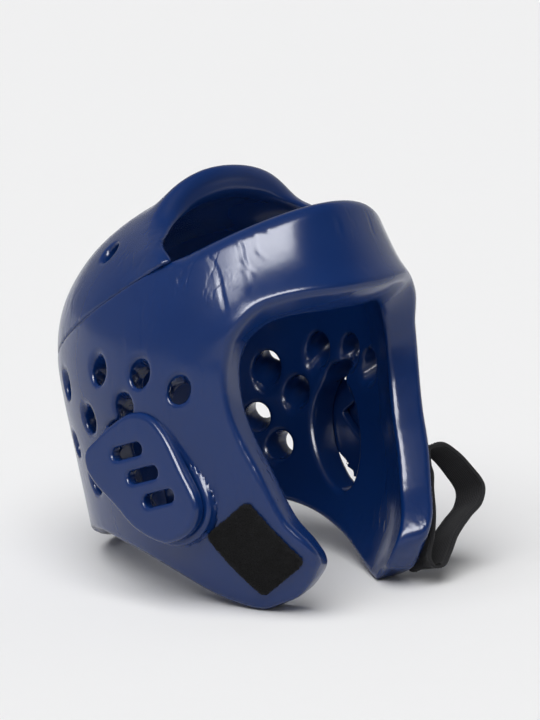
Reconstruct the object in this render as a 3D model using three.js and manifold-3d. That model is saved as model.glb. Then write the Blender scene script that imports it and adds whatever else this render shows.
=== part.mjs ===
import * as THREE from "three";
import { mergeVertices } from "three/addons/utils/BufferGeometryUtils.js";
import Module from "manifold-3d";

// Taekwondo headgear of dipped foam, in millimetres, resting on its two cheek tips and the rim at the nape.
// Everything is laid out in the head's own frame: across (wearer's left is plus), back, and up.
// The finished pieces are then leaned back to the angle at which the headgear rests on a floor.

const wasm = await Module();
wasm.setup();

// Overall sizes of the padding
const HALF_WIDTH = 97;
const FRONT_REACH = 117;
const BACK_REACH = 117;
const WIDEST_UP = 118;
const HEAD_CENTRE_BACK = -40;
const WALL = 20;
const REST_LEAN = 20;
const GAP = 0.3;
const AROUND = 44;

// Band that wraps the forehead, and the sloping plane it shares with the crown piece
const SEAM_UP_AT_BROW = 192;
const SEAM_SLOPE = 0.24;
const BROW_BACK = -162;

// Crown piece and its raised front lip
const CROWN_HALF_WIDTH = 95;
const CROWN_FRONT = 116;
const CROWN_BACK = 116;
const CROWN_BASE_UP = 136;
const CROWN_RISE = 84;
const CROWN_POWER = 1.9;
const CROWN_WALL = 18;
const LIP_RISE = 2;
const LIP_RISE_AT_APEX = 11.5;
const LIP_RISE_AT_FOOT = 3.5;
const LIP_TURN = 0.78;
const FOOT_LOW_UP = 178;
const FOOT_HIGH_UP = 198;
const LEG_WALL = 7;
const LEG_FADE = 16;
const LEG_LOW_UP = 186;
const LEG_HIGH_UP = 206;
const CROWN_VENT_ACROSS = 69;
const CROWN_VENT_BACK = -30;
const CROWN_VENT_UP = 192;
const LIP_FADE = 20;
const LIP_BACK = -63;

// Face opening
const BROW_EDGE_UP = 135;
const OPENING_HALF_WIDTH = 76;
const BROW_CHAMFER = 12;
const TIP_UP = -27;

// Ear openings and ear pods
const EAR_BACK = -32;
const EAR_UP = 62;
const EAR_HALF_LENGTH = 35;
const EAR_HALF_WIDTH = 20;
const POD_TURN = 10;
const POD_ACROSS = 99.5;
const POD_BACK = -40;
const POD_UP = 60;
const POD_LENGTH = 76;
const POD_WIDTH = 75;
const POD_LEDGE = 3;
const POD_WALL = 13;
const PLATE_THICK = 8.5;
const POD_ROUND = 2.4;
const SLOT_LENGTH = 22.5;
const SLOT_HEIGHT = 7.5;
const SLOT_PITCH = 15;
const SLOT_STEP = 7.6;
const SLOT_FIRST_UP = 17.6;
const SLOT_FIRST_ALONG = -1.7;

// Vents
const VENT_R = 7;
const VENT_MOUTH_R = 9;
const VENT_MOUTH_DEEP = 4;
const VENT_FOCUS_BACK = 0;
const VENT_FOCUS_UP = 60;

// Loop patch on the wearer's right cheek
const PATCH_LENGTH = 47;
const PATCH_WIDTH = 36;
const PATCH_THICK = 2.4;
const PATCH_CORNER_R = 4;
const PATCH_FROM_POD = 51.5;
const PATCH_UP = 7;
const PATCH_TURN = 24;

// Chin strap
const STRAP_WIDTH = 24;
const STRAP_THICK = 2.4;
const STRAP_CLEAR = 0.9;
const STRAP_FROM_POD = 66;
const STRAP_STAND = 42;

// Sections of the side shell from the cheek tips up, each size a share of the overall one
const SHELL_ROWS = [
  { up: -0.29, half: 0.58, front: 0.684, back: 1.3 },
  { up: -0.186, half: 0.642, front: 0.735, back: 1.284 },
  { up: 0, half: 0.753, front: 0.88, back: 1.235 },
  { up: 0.17, half: 0.822, front: 0.927, back: 1.195 },
  { up: 0.347, half: 0.88, front: 0.944, back: 1.15 },
  { up: 0.534, half: 0.92, front: 0.957, back: 1.107 },
  { up: 0.788, half: 0.97, front: 1, back: 1.048 },
  { up: 1, half: 1, front: 1, back: 1 },
  { up: 1.22, half: 0.984, front: 0.983, back: 0.98 },
  { up: 1.441, half: 0.907, front: 0.957, back: 0.89 },
  { up: 1.695, half: 0.773, front: 0.957, back: 0.718 },
];

// Side profile of the front edge of the crown piece: back from the lip plane as a share of the wall, up as a share of the rise
const LIP_ROWS = [
  { back: -1.75, up: 0.22 },
  { back: -1.35, up: 0.47 },
  { back: -0.8, up: 0.6 },
  { back: -0.35, up: 0.72 },
  { back: -0.2, up: 0.81 },
  { back: -0.22, up: 0.9 },
  { back: -0.3, up: 0.99 },
  { back: -0.45, up: 1.09 },
  { back: -0.7, up: 1.28 },
];

// Half of the face opening's outer edge from the brow's centre down to the cheek tip
// Across is a share of the opening's half width, up is a share of the brow edge's height, slant tells how far the cut drops inward
const OPENING_ROWS = [
  { across: 0, up: 1, slant: 1 },
  { across: 0.17, up: 1, slant: 1 },
  { across: 0.34, up: 1.005, slant: 1 },
  { across: 0.5, up: 1.012, slant: 0.95 },
  { across: 0.65, up: 1.012, slant: 0.85 },
  { across: 0.76, up: 1, slant: 0.7 },
  { across: 0.86, up: 0.96, slant: 0.55 },
  { across: 0.94, up: 0.9, slant: 0.4 },
  { across: 0.985, up: 0.83, slant: 0.3 },
  { across: 1, up: 0.75, slant: 0.2 },
  { across: 0.99, up: 0.63, slant: 0.1 },
  { across: 0.9, up: 0.41, slant: 0 },
  { across: 0.775, up: 0.15, slant: 0 },
  { across: 0.66, up: 0.035, slant: 0 },
  { across: 0.583, up: -0.04, slant: -0.1 },
  { across: 0.555, up: -0.09, slant: -0.25 },
  { across: 0.575, up: -0.143, slant: -0.4 },
  { across: 0.62, up: -0.188, slant: -0.5 },
  { across: 0.7, up: -0.212, slant: -0.5 },
  { across: 0.76, up: -0.55, slant: -0.5 },
];

// Side profile of the lower edge from in front of the cheek tips to behind the nape, in shares of the widest section's height
const JAW_ROWS = [
  { back: -1.3, up: -0.03 },
  { back: -0.95, up: -0.1 },
  { back: -0.89, up: -0.163 },
  { back: -0.81, up: -0.215 },
  { back: -0.71, up: -0.228 },
  { back: -0.63, up: -0.222 },
  { back: -0.55, up: -0.182 },
  { back: -0.43, up: -0.098 },
  { back: -0.27, up: 0.042 },
  { back: -0.055, up: 0.193 },
  { back: 0.18, up: 0.3 },
  { back: 0.34, up: 0.335 },
  { back: 0.49, up: 0.345 },
  { back: 0.65, up: 0.322 },
  { back: 0.78, up: 0.292 },
  { back: 1.2, up: 0.28 },
];

// Outline of the ear pod in its own plane: along is a share of its width, up is a share of its length
const POD_ROWS = [
  { along: 0.405, up: 0.307 },
  { along: 0.27, up: 0.38 },
  { along: 0.08, up: 0.455 },
  { along: -0.11, up: 0.5 },
  { along: -0.25, up: 0.475 },
  { along: -0.345, up: 0.405 },
  { along: -0.42, up: 0.27 },
  { along: -0.5, up: 0 },
  { along: -0.562, up: -0.22 },
  { along: -0.55, up: -0.33 },
  { along: -0.49, up: -0.415 },
  { along: -0.4, up: -0.47 },
  { along: -0.28, up: -0.5 },
  { along: -0.15, up: -0.49 },
  { along: 0.083, up: -0.34 },
  { along: 0.24, up: -0.125 },
  { along: 0.385, up: 0.07 },
  { along: 0.43, up: 0.195 },
];

// Vents of one side: back and up in the head's frame, in shares of the widest section's height
const VENT_ROWS = [
  { name: "front_upper", back: -0.73, up: 0.885 },
  { name: "front_middle", back: -0.54, up: 1.01 },
  { name: "top_middle", back: -0.255, up: 1.085 },
  { name: "back_upper", back: 0.14, up: 1.07 },
  { name: "above_pod", back: -0.37, up: 0.875 },
  { name: "behind_pod", back: -0.04, up: 0.87 },
  { name: "back_middle", back: 0.27, up: 0.775 },
  { name: "nape", back: 0.14, up: 0.56 },
];

// Free stretch of the chin strap across and up: across is a share of the stand-off from the cheek, up is a share of the stand-off
const STRAP_ROWS = [
  { across: 0.1, up: 0.86, wide: 0.75 },
  { across: 0.27, up: 0.98, wide: 0.8 },
  { across: 0.5, up: 1.0, wide: 0.9 },
  { across: 0.72, up: 0.84, wide: 0.95 },
  { across: 0.92, up: 0.58, wide: 1 },
  { across: 1.06, up: 0.3, wide: 1.05 },
  { across: 1.02, up: 0.08, wide: 1.05 },
  { across: 0.76, up: -0.06, wide: 1 },
  { across: 0.46, up: -0.26, wide: 1 },
  { across: 0.24, up: -0.5, wide: 1.05 },
  { across: 0.04, up: -0.66, wide: 1.1 },
  { across: -0.12, up: -0.63, wide: 1.1 },
];

const rad = THREE.MathUtils.degToRad;

// The patch keeps its distance from the front, and the strap from the ear pod
const PATCH_BACK = POD_BACK - PATCH_FROM_POD;
const STRAP_FRONT_BACK = POD_BACK - STRAP_FROM_POD;

// Value of a table's column at a height between its rows, on a smooth curve through them
function columnAt(rows, key, column, value) {
  const last = rows.length - 1;
  let i = 0;
  while (i < last - 1 && rows[i + 1][key] < value) i += 1;
  const span = rows[i + 1][key] - rows[i][key];
  const t = THREE.MathUtils.clamp((value - rows[i][key]) / span, 0, 1);
  const slope = (j) => {
    const a = rows[Math.max(j - 1, 0)];
    const b = rows[Math.min(j + 1, last)];
    return (b[column] - a[column]) / (b[key] - a[key]);
  };
  const p = rows[i][column];
  const q = rows[i + 1][column];
  const m = slope(i) * span;
  const n = slope(i + 1) * span;
  const t2 = t * t;
  const t3 = t2 * t;
  return (2 * t3 - 3 * t2 + 1) * p + (t3 - 2 * t2 + t) * m + (3 * t2 - 2 * t3) * q + (t3 - t2) * n;
}

// Half width and reaches of the side shell at a height, set inward by an inset
function shellSection(up, inset) {
  const level = up / WIDEST_UP;
  return {
    half: HALF_WIDTH * columnAt(SHELL_ROWS, "up", "half", level) - inset,
    front: FRONT_REACH * columnAt(SHELL_ROWS, "up", "front", level) - inset,
    back: BACK_REACH * columnAt(SHELL_ROWS, "up", "back", level) - inset,
  };
}

// Point of a section at an angle from straight ahead
function sectionPoint(section, angle, up) {
  const c = Math.cos(angle);
  const reach = c > 0 ? section.front : section.back;
  return new THREE.Vector3(section.half * Math.sin(angle), HEAD_CENTRE_BACK - reach * c, up);
}

// How far the side shell reaches across at a place given by its distance back and its height
function shellAcross(back, up) {
  const s = shellSection(up, 0);
  const d = back - HEAD_CENTRE_BACK;
  const reach = d < 0 ? s.front : s.back;
  return s.half * Math.sqrt(Math.max(1 - (d / reach) ** 2, 0));
}

// Outward direction of the side shell at a point of it
function shellNormal(p) {
  const s = shellSection(p.z, 0);
  const d = p.y - HEAD_CENTRE_BACK;
  const reach = d < 0 ? s.front : s.back;
  return new THREE.Vector3(p.x / s.half ** 2, d / reach ** 2, 0).normalize();
}

// Outward direction of the side shell with the slope of its sections counted in
function shellSlope(p) {
  const n = shellNormal(p);
  const step = 4;
  const lower = shellAcross(p.y, p.z - step);
  const upper = shellAcross(p.y, p.z + step);
  n.z = (-Math.abs(n.x) * (upper - lower)) / (2 * step);
  return n.normalize();
}

// Point of the side shell's outer face at a share of the way across, in front of the head's centre
function shellFrontPoint(across, up) {
  const s = shellSection(up, 0);
  const share = THREE.MathUtils.clamp(across / s.half, -0.999, 0.999);
  return new THREE.Vector3(across, HEAD_CENTRE_BACK - s.front * Math.sqrt(1 - share * share), up);
}

// Closed body through rings of equal count, its first and last ring closed by a fan to their middles
function loft(rings) {
  const n = rings[0].length;
  const verts = rings.flat();
  const middle = (ring) => ring.reduce((sum, p) => sum.add(p), new THREE.Vector3()).divideScalar(n);
  verts.push(middle(rings[0]), middle(rings[rings.length - 1]));
  const index = [];
  for (let r = 0; r < rings.length - 1; r += 1) {
    for (let i = 0; i < n; i += 1) {
      const j = (i + 1) % n;
      const a = r * n + i;
      const b = r * n + j;
      index.push(a, b, b + n, a, b + n, a + n);
    }
  }
  const top = (rings.length - 1) * n;
  for (let i = 0; i < n; i += 1) {
    const j = (i + 1) % n;
    index.push(verts.length - 2, j, i);
    index.push(verts.length - 1, top + i, top + j);
  }
  return bodyOf(verts, index);
}

// Geometry from points and faces, turned face out
function bodyOf(verts, index) {
  const g = new THREE.BufferGeometry();
  g.setAttribute("position", new THREE.Float32BufferAttribute(verts.flatMap((p) => [p.x, p.y, p.z]), 3));
  let volume = 0;
  for (let i = 0; i < index.length; i += 3) {
    const a = verts[index[i]];
    const b = verts[index[i + 1]];
    const c = verts[index[i + 2]];
    volume += a.dot(new THREE.Vector3().crossVectors(b, c));
  }
  if (volume < 0) {
    for (let i = 0; i < index.length; i += 3) [index[i + 1], index[i + 2]] = [index[i + 2], index[i + 1]];
  }
  g.setIndex(index);
  return g;
}

// Solid for joining and cutting
function solid(geometry) {
  const g = geometry.clone();
  g.deleteAttribute("normal");
  g.deleteAttribute("uv");
  const merged = mergeVertices(g, 1e-4);
  return new wasm.Manifold(
    new wasm.Mesh({
      numProp: 3,
      vertProperties: new Float32Array(merged.attributes.position.array),
      triVerts: new Uint32Array(merged.index.array),
    }),
  );
}

// Geometry of a finished solid
function geometryOf(body) {
  const mesh = body.getMesh();
  const g = new THREE.BufferGeometry();
  g.setAttribute("position", new THREE.BufferAttribute(new Float32Array(mesh.vertProperties), 3));
  g.setIndex(new THREE.BufferAttribute(new Uint32Array(mesh.triVerts), 1));
  return g;
}

// Body with a side profile of back and up, as wide across as the two limits
function sideProfile(points, from, to) {
  const shape = new THREE.Shape(points.map((p) => new THREE.Vector2(p.x, p.y)));
  const g = new THREE.ExtrudeGeometry(shape, { depth: to - from, bevelEnabled: false });
  g.applyMatrix4(
    new THREE.Matrix4().makeBasis(
      new THREE.Vector3(0, 1, 0),
      new THREE.Vector3(0, 0, 1),
      new THREE.Vector3(1, 0, 0),
    ),
  );
  g.translate(from, 0, 0);
  return solid(g);
}

// Smooth closed outline through points
function smoothOutline(points, count) {
  const curve = new THREE.CatmullRomCurve3(points.map((p) => new THREE.Vector3(p.x, p.y, 0)), true, "centripetal");
  return curve.getPoints(count).slice(0, count).map((p) => new THREE.Vector2(p.x, p.y));
}

// Smooth open line through points
function smoothLine(points, count) {
  const curve = new THREE.CatmullRomCurve3(points.map((p) => new THREE.Vector3(p.x, p.y, 0)), false, "centripetal");
  return curve.getPoints(count).map((p) => new THREE.Vector2(p.x, p.y));
}

// Height of the seam's plane at a distance back
const seamUp = (back) => SEAM_UP_AT_BROW - SEAM_SLOPE * (back - BROW_BACK);

// Everything above the seam's plane, raised by a gap
function aboveSeam(lift) {
  const far = 400;
  return sideProfile(
    [
      new THREE.Vector2(-far, seamUp(-far) + lift),
      new THREE.Vector2(far, seamUp(far) + lift),
      new THREE.Vector2(far, far),
      new THREE.Vector2(-far, far),
    ],
    -far,
    far,
  );
}

// Side shell and forehead band as one solid body, inset for the hollow
function shellBody(inset, low, high, levels) {
  const rings = [];
  for (let k = 0; k <= levels; k += 1) {
    const up = low + ((high - low) * k) / levels;
    const section = shellSection(up, inset);
    const ring = [];
    for (let i = 0; i < AROUND; i += 1) ring.push(sectionPoint(section, (i / AROUND) * 2 * Math.PI, up));
    rings.push(ring);
  }
  return solid(loft(rings));
}

// Front edge of the crown piece from the side, moved back by a distance
function lipProfile(shift) {
  return smoothLine(
    LIP_ROWS.map((r) => new THREE.Vector2(LIP_BACK + WALL * r.back + shift, CROWN_BASE_UP + CROWN_RISE * r.up)),
    18,
  );
}

// How far back the front edge of the crown lies at a height
function lipBackAt(up) {
  const rows = LIP_ROWS.map((r) => ({ up: CROWN_BASE_UP + CROWN_RISE * r.up, back: LIP_BACK + WALL * r.back }));
  return columnAt(rows, "up", "back", up);
}

// How far the lip stands proud of the dome, most at its apex and again at its feet
function lipRise(upright, up) {
  const top = THREE.MathUtils.smoothstep(upright, LIP_TURN, 1);
  const foot = 1 - THREE.MathUtils.smoothstep(up, FOOT_LOW_UP, FOOT_HIGH_UP);
  return LIP_RISE + (LIP_RISE_AT_APEX - LIP_RISE) * top + LIP_RISE_AT_FOOT * foot;
}

// How much thinner the wall gets where the lip runs down into the band
function legThinning(up, back) {
  const low = 1 - THREE.MathUtils.smoothstep(up, LEG_LOW_UP, LEG_HIGH_UP);
  const behind = Math.max(back - lipBackAt(up), 0) / LEG_FADE;
  return (CROWN_WALL - LEG_WALL) * low * Math.exp(-(behind ** 2));
}

// Dome of the crown with its raised lip, inset for the hollow
function crownBody(inset) {
  const levels = 11;
  const rings = [];
  const grow = (share) => (1 - share ** 2) ** (1 / CROWN_POWER);
  for (let k = 0; k <= levels; k += 1) {
    const turn = (k / levels) * (Math.PI / 2) * 0.985;
    const share = Math.sin(turn);
    const size = k === 0 ? 1 : grow(share);
    const up = CROWN_BASE_UP + (CROWN_RISE - inset) * share;
    const section = {
      half: (CROWN_HALF_WIDTH - inset) * size,
      front: (CROWN_FRONT - inset) * size,
      back: (CROWN_BACK - inset) * size,
    };
    const ring = [];
    for (let i = 0; i < AROUND; i += 1) {
      const p = sectionPoint(section, (i / AROUND) * 2 * Math.PI, up);
      const normal = new THREE.Vector3(p.x / CROWN_HALF_WIDTH, 0, share).normalize();
      const behind = Math.max(p.y - lipBackAt(up), 0) / LIP_FADE;
      const lip = lipRise(normal.z, up) * Math.exp(-(behind ** 2));
      ring.push(p.addScaledVector(normal, lip + (inset > 0 ? legThinning(up, p.y) : 0)));
    }
    rings.push(ring);
  }
  const base = rings[0].map((p) => new THREE.Vector3(p.x, p.y, CROWN_BASE_UP - 40));
  return solid(loft([base, ...rings]));
}

// Cutter of the face opening, square to the padding's wall and slanting down inward along the brow
function faceCutter() {
  const half = smoothLine(
    OPENING_ROWS.map((r) => new THREE.Vector2(OPENING_HALF_WIDTH * r.across, BROW_EDGE_UP * r.up)),
    34,
  );
  const rows = OPENING_ROWS.map((r) => ({ up: r.up, slant: r.slant }));
  const slantAt = (across, up) => {
    let best = rows[0];
    let least = Infinity;
    OPENING_ROWS.forEach((r, i) => {
      const d = Math.hypot(OPENING_HALF_WIDTH * r.across - across, BROW_EDGE_UP * r.up - up);
      if (d < least) {
        least = d;
        best = rows[i];
      }
    });
    return best.slant;
  };
  const outline = [];
  half.forEach((p) => outline.push(p));
  half.slice(1).reverse().forEach((p) => outline.push(new THREE.Vector2(-p.x, p.y)));
  const ringAt = (depth) =>
    outline.map((q) => {
      const p = shellFrontPoint(q.x, Math.max(q.y, TIP_UP));
      const n = shellNormal(p);
      n.z = (slantAt(Math.abs(q.x), q.y) * BROW_CHAMFER) / WALL;
      p.z = q.y;
      return p.addScaledVector(n, -depth);
    });
  const flatAt = (ring, back, spread) => ring.map((p) => new THREE.Vector3(p.x * spread, back, p.z));
  const outside = ringAt(-WALL);
  const inside = ringAt(WALL * 1.1);
  return solid(
    loft([flatAt(outside, -320, 1.1), outside, ringAt(0), inside, flatAt(inside, HEAD_CENTRE_BACK - 8, 0.8)]),
  );
}

// Everything under the lower edge
function jawCutter() {
  const line = smoothLine(JAW_ROWS.map((r) => new THREE.Vector2(WIDEST_UP * r.back, WIDEST_UP * r.up)), 44);
  const low = -200;
  return sideProfile([...line, new THREE.Vector2(200, low), new THREE.Vector2(-200, low)], -200, 200);
}

// Everything in front of the crown's front edge
function lipCutter() {
  const line = lipProfile(0);
  const far = 300;
  const low = line[0].y - 60;
  return sideProfile(
    [
      new THREE.Vector2(line[0].x, low),
      ...line,
      new THREE.Vector2(line[line.length - 1].x, far),
      new THREE.Vector2(-far, far),
      new THREE.Vector2(-far, low),
    ],
    -200,
    200,
  );
}

// Teardrop through the wall over each ear
function earCutter(side) {
  const turn = rad(18);
  const points = [];
  for (let i = 0; i < 24; i += 1) {
    const a = (i / 24) * 2 * Math.PI;
    const along = EAR_HALF_LENGTH * Math.cos(a);
    const wide = EAR_HALF_WIDTH * Math.sin(a) * (1 + 0.12 * Math.cos(a));
    points.push(
      new THREE.Vector2(
        EAR_BACK + along * Math.sin(turn) * 0.4 + wide * Math.cos(turn),
        EAR_UP + along * Math.cos(turn) - wide * Math.sin(turn),
      ),
    );
  }
  return side > 0 ? sideProfile(points, 20, 160) : sideProfile(points, -160, -20);
}

// Round vent with a flared mouth, drilled from the outer face toward the middle of the head
function ventCutter(row, side) {
  const back = WIDEST_UP * row.back;
  const up = WIDEST_UP * row.up;
  const p = new THREE.Vector3(side * shellAcross(back, up), back, up);
  const n = p.clone().sub(new THREE.Vector3(0, VENT_FOCUS_BACK, VENT_FOCUS_UP)).normalize();
  const flare = VENT_MOUTH_R - VENT_R;
  const profile = [
    new THREE.Vector2(0, -2.2 * WALL),
    new THREE.Vector2(VENT_R, -2.2 * WALL),
    new THREE.Vector2(VENT_R, -VENT_MOUTH_DEEP),
    new THREE.Vector2(VENT_MOUTH_R, 0),
    new THREE.Vector2(VENT_MOUTH_R + 2.5 * flare, 2.5 * VENT_MOUTH_DEEP),
    new THREE.Vector2(0, 2.5 * VENT_MOUTH_DEEP),
  ];
  const g = new THREE.LatheGeometry(profile, 14);
  const turn = new THREE.Quaternion().setFromUnitVectors(new THREE.Vector3(0, 1, 0), n);
  g.applyQuaternion(turn);
  g.translate(p.x, p.y, p.z);
  return solid(g);
}

// Outline of the ear pod in its plane, grown by a ledge
function podOutline(grow) {
  const points = POD_ROWS.map((r) => new THREE.Vector2(POD_WIDTH * r.along, POD_LENGTH * r.up));
  const line = smoothOutline(points, 32);
  return line.map((p, i) => {
    const a = line[(i + line.length - 1) % line.length];
    const b = line[(i + 1) % line.length];
    const n = new THREE.Vector2(a.y - b.y, b.x - a.x).normalize();
    const out = n.dot(p) < 0 ? -1 : 1;
    return p.clone().addScaledVector(n, out * grow);
  });
}

// Places a body drawn in the pod's plane, where x runs back, y runs up and z stands off from the head
function placePod(g, side, stand) {
  const turn = rad(POD_TURN);
  const along = new THREE.Vector3(side * Math.sin(turn), Math.cos(turn), 0);
  const up = new THREE.Vector3(0, 0, 1);
  const off = new THREE.Vector3(side * Math.cos(turn), -Math.sin(turn), 0);
  const m = new THREE.Matrix4().makeBasis(along, up, off);
  m.setPosition(new THREE.Vector3(side * POD_ACROSS, POD_BACK, POD_UP).addScaledVector(off, stand - PLATE_THICK));
  g.applyMatrix4(m);
  if (m.determinant() < 0) flip(g);
  return g;
}

// Turns every face of a mirrored geometry the other way
function flip(g) {
  const index = g.index ? g.index.array : null;
  if (index) {
    for (let i = 0; i < index.length; i += 3) [index[i + 1], index[i + 2]] = [index[i + 2], index[i + 1]];
    return;
  }
  const p = g.attributes.position.array;
  for (let i = 0; i < p.length; i += 9) {
    for (let k = 0; k < 3; k += 1) [p[i + 3 + k], p[i + 6 + k]] = [p[i + 6 + k], p[i + 3 + k]];
  }
}

// Foam ring that stands on the side shell round the ear
function earRing(side, around) {
  const shape = new THREE.Shape(podOutline(POD_LEDGE));
  shape.holes.push(new THREE.Path(podOutline(-POD_WALL)));
  const g = new THREE.ExtrudeGeometry(shape, { depth: 60, bevelEnabled: false });
  g.translate(0, 0, -60);
  return solid(placePod(g, side, 0)).subtract(around);
}

// Slotted plate that covers the ear
function earPlate(side, around) {
  const shape = new THREE.Shape(podOutline(-POD_ROUND));
  for (let k = 0; k < 3; k += 1) {
    const x = SLOT_FIRST_ALONG - SLOT_STEP * k;
    const y = SLOT_FIRST_UP - SLOT_PITCH * k;
    const r = SLOT_HEIGHT / 2 + POD_ROUND;
    const h = SLOT_LENGTH / 2 - SLOT_HEIGHT / 2;
    const hole = new THREE.Path();
    hole.absarc(x + h, y, r, -Math.PI / 2, Math.PI / 2, false);
    hole.absarc(x - h, y, r, Math.PI / 2, (3 * Math.PI) / 2, false);
    shape.holes.push(hole);
  }
  const g = new THREE.ExtrudeGeometry(shape, {
    depth: PLATE_THICK - 2 * POD_ROUND,
    bevelEnabled: true,
    bevelThickness: POD_ROUND,
    bevelSize: POD_ROUND,
    bevelSegments: 2,
    curveSegments: 4,
  });
  g.translate(0, 0, POD_ROUND);
  return solid(placePod(g, side, GAP)).subtract(around);
}

// Loop patch that follows the cheek, its length running down to the front
function loopPatch(around, raised) {
  const centre = new THREE.Vector3(-shellAcross(PATCH_BACK, PATCH_UP), PATCH_BACK, PATCH_UP);
  const off = shellSlope(centre);
  const level = new THREE.Vector3(0, 0, 1).cross(off).normalize();
  const steep = off.clone().cross(level);
  const x = PATCH_WIDTH / 2 - PATCH_CORNER_R;
  const y = PATCH_LENGTH / 2 - PATCH_CORNER_R;
  const shape = new THREE.Shape();
  shape.absarc(x, y, PATCH_CORNER_R, 0, rad(90), false);
  shape.absarc(-x, y, PATCH_CORNER_R, rad(90), rad(180), false);
  shape.absarc(-x, -y, PATCH_CORNER_R, rad(180), rad(270), false);
  shape.absarc(x, -y, PATCH_CORNER_R, rad(270), rad(360), false);
  const g = new THREE.ExtrudeGeometry(shape, { depth: 40, bevelEnabled: false, curveSegments: 4 });
  g.translate(0, 0, -20);
  g.rotateZ(rad(PATCH_TURN));
  g.applyMatrix4(new THREE.Matrix4().makeBasis(level, steep, off));
  g.translate(centre.x, centre.y, centre.z);
  return solid(g).intersect(raised).subtract(around);
}

// Chin strap: a whole loop whose hidden stretch lies along the outside of the wearer's left cheek
function chinStrap() {
  const mid = STRAP_FRONT_BACK + STRAP_WIDTH / 2;
  const away = GAP + STRAP_THICK / 2 + 1;
  const touch = (back, up) => {
    const p = new THREE.Vector3(shellAcross(back, up), back, up);
    return p.addScaledVector(shellNormal(p), away);
  };
  const foot = shellAcross(mid, 0);
  const centres = [];
  const widths = [];
  const sizes = [];
  STRAP_ROWS.forEach((r) => {
    centres.push(new THREE.Vector3(foot + STRAP_STAND * r.across, mid, STRAP_STAND * r.up));
    widths.push(new THREE.Vector3(0, 1, 0));
    sizes.push(r.wide);
  });
  const low = STRAP_ROWS[STRAP_ROWS.length - 1].up * STRAP_STAND + 6;
  const high = STRAP_ROWS[0].up * STRAP_STAND - 7;
  for (let k = 0; k <= 4; k += 1) {
    const up = low + ((high - low) * k) / 4;
    const a = touch(mid - STRAP_WIDTH / 2, up);
    const b = touch(mid + STRAP_WIDTH / 2, up);
    centres.push(a.clone().add(b).multiplyScalar(0.5).add(new THREE.Vector3(0.6, -0.3, 0)));
    widths.push(b.clone().sub(a).normalize());
    sizes.push(1.1 - (0.35 * k) / 4);
  }
  const path = new THREE.CatmullRomCurve3(centres, true, "centripetal");
  const n = 54;
  const outer = [[], [], [], []];
  const count = centres.length;
  for (let i = 0; i < n; i += 1) {
    const t = i / n;
    const p = path.getPoint(t);
    const along = path.getTangent(t);
    const f = t * count;
    const i0 = Math.floor(f) % count;
    const w = widths[i0].clone().lerp(widths[(i0 + 1) % count], f - Math.floor(f)).normalize();
    const off = new THREE.Vector3().crossVectors(along, w).normalize();
    const side = new THREE.Vector3().crossVectors(off, along).normalize();
    const wide = THREE.MathUtils.lerp(sizes[i0], sizes[(i0 + 1) % count], f - Math.floor(f));
    const hw = (STRAP_WIDTH / 2) * wide;
    const ht = STRAP_THICK / 2;
    [
      [1, 1],
      [-1, 1],
      [-1, -1],
      [1, -1],
    ].forEach(([s, o], c) => {
      const q = p.clone().addScaledVector(side, s * hw).addScaledVector(off, o * ht);
      const depth = off.x * o > 0 ? STRAP_THICK : 0;
      const n = shellNormal(new THREE.Vector3(shellAcross(q.y, q.z), q.y, q.z));
      q.x = Math.max(q.x, shellAcross(q.y, q.z) + (STRAP_CLEAR + depth) / n.x);
      outer[c].push(q);
    });
  }
  const verts = outer.flat();
  const index = [];
  for (let c = 0; c < 4; c += 1) {
    const d = (c + 1) % 4;
    for (let i = 0; i < n; i += 1) {
      const j = (i + 1) % n;
      index.push(c * n + i, c * n + j, d * n + j, c * n + i, d * n + j, d * n + i);
    }
  }
  return bodyOf(verts, index);
}

// Side shell with the forehead band
const outerShell = shellBody(0, -50, 225, 14);
const hollow = shellBody(WALL, -80, 245, 14);
const face = faceCutter();
const jaw = jawCutter();
const clearShell = shellBody(-GAP, -50, 225, 14);
let shell = outerShell.subtract(aboveSeam(0)).subtract(hollow).subtract(face).subtract(jaw);
for (const side of [-1, 1]) {
  shell = shell.subtract(earCutter(side));
  for (const row of VENT_ROWS) shell = shell.subtract(ventCutter(row, side));
}

// Crown piece
const crown = crownBody(0)
  .subtract(crownBody(CROWN_WALL))
  .intersect(aboveSeam(GAP))
  .subtract(lipCutter())
  .subtract(ventHoles());

// Two vents high in the crown's sides
function ventHoles() {
  let all = null;
  for (const side of [-1, 1]) {
    const g = new THREE.CylinderGeometry(VENT_R, VENT_R, 60, 14);
    const mouth = new THREE.Vector3(side * CROWN_VENT_ACROSS, CROWN_VENT_BACK, CROWN_VENT_UP);
    const n = mouth.clone().sub(new THREE.Vector3(0, HEAD_CENTRE_BACK, CROWN_BASE_UP)).normalize();
    g.applyQuaternion(new THREE.Quaternion().setFromUnitVectors(new THREE.Vector3(0, 1, 0), n));
    g.translate(mouth.x, mouth.y, mouth.z);
    all = all ? all.add(solid(g)) : solid(g);
  }
  return all;
}

// Materials
const skin = new THREE.MeshStandardMaterial({ name: "skin", color: 0x142a66, roughness: 0.25, metalness: 0 });
const loopPile = new THREE.MeshStandardMaterial({ name: "loop_pile", color: 0x15151a, roughness: 0.95, metalness: 0 });
const elastic = new THREE.MeshStandardMaterial({ name: "elastic", color: 0x17171a, roughness: 0.85, metalness: 0 });

const group = new THREE.Group();

// Leans a finished piece back to the resting angle
const lean = new THREE.Matrix4().makeRotationX(-rad(REST_LEAN));
function addPiece(name, geometry, material) {
  const g = geometry.index ? geometry : mergeVertices(geometry);
  g.deleteAttribute("normal");
  g.deleteAttribute("uv");
  g.applyMatrix4(lean);
  g.computeVertexNormals();
  const mesh = new THREE.Mesh(g, material.clone());
  mesh.name = name;
  group.add(mesh);
  return mesh;
}

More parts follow.
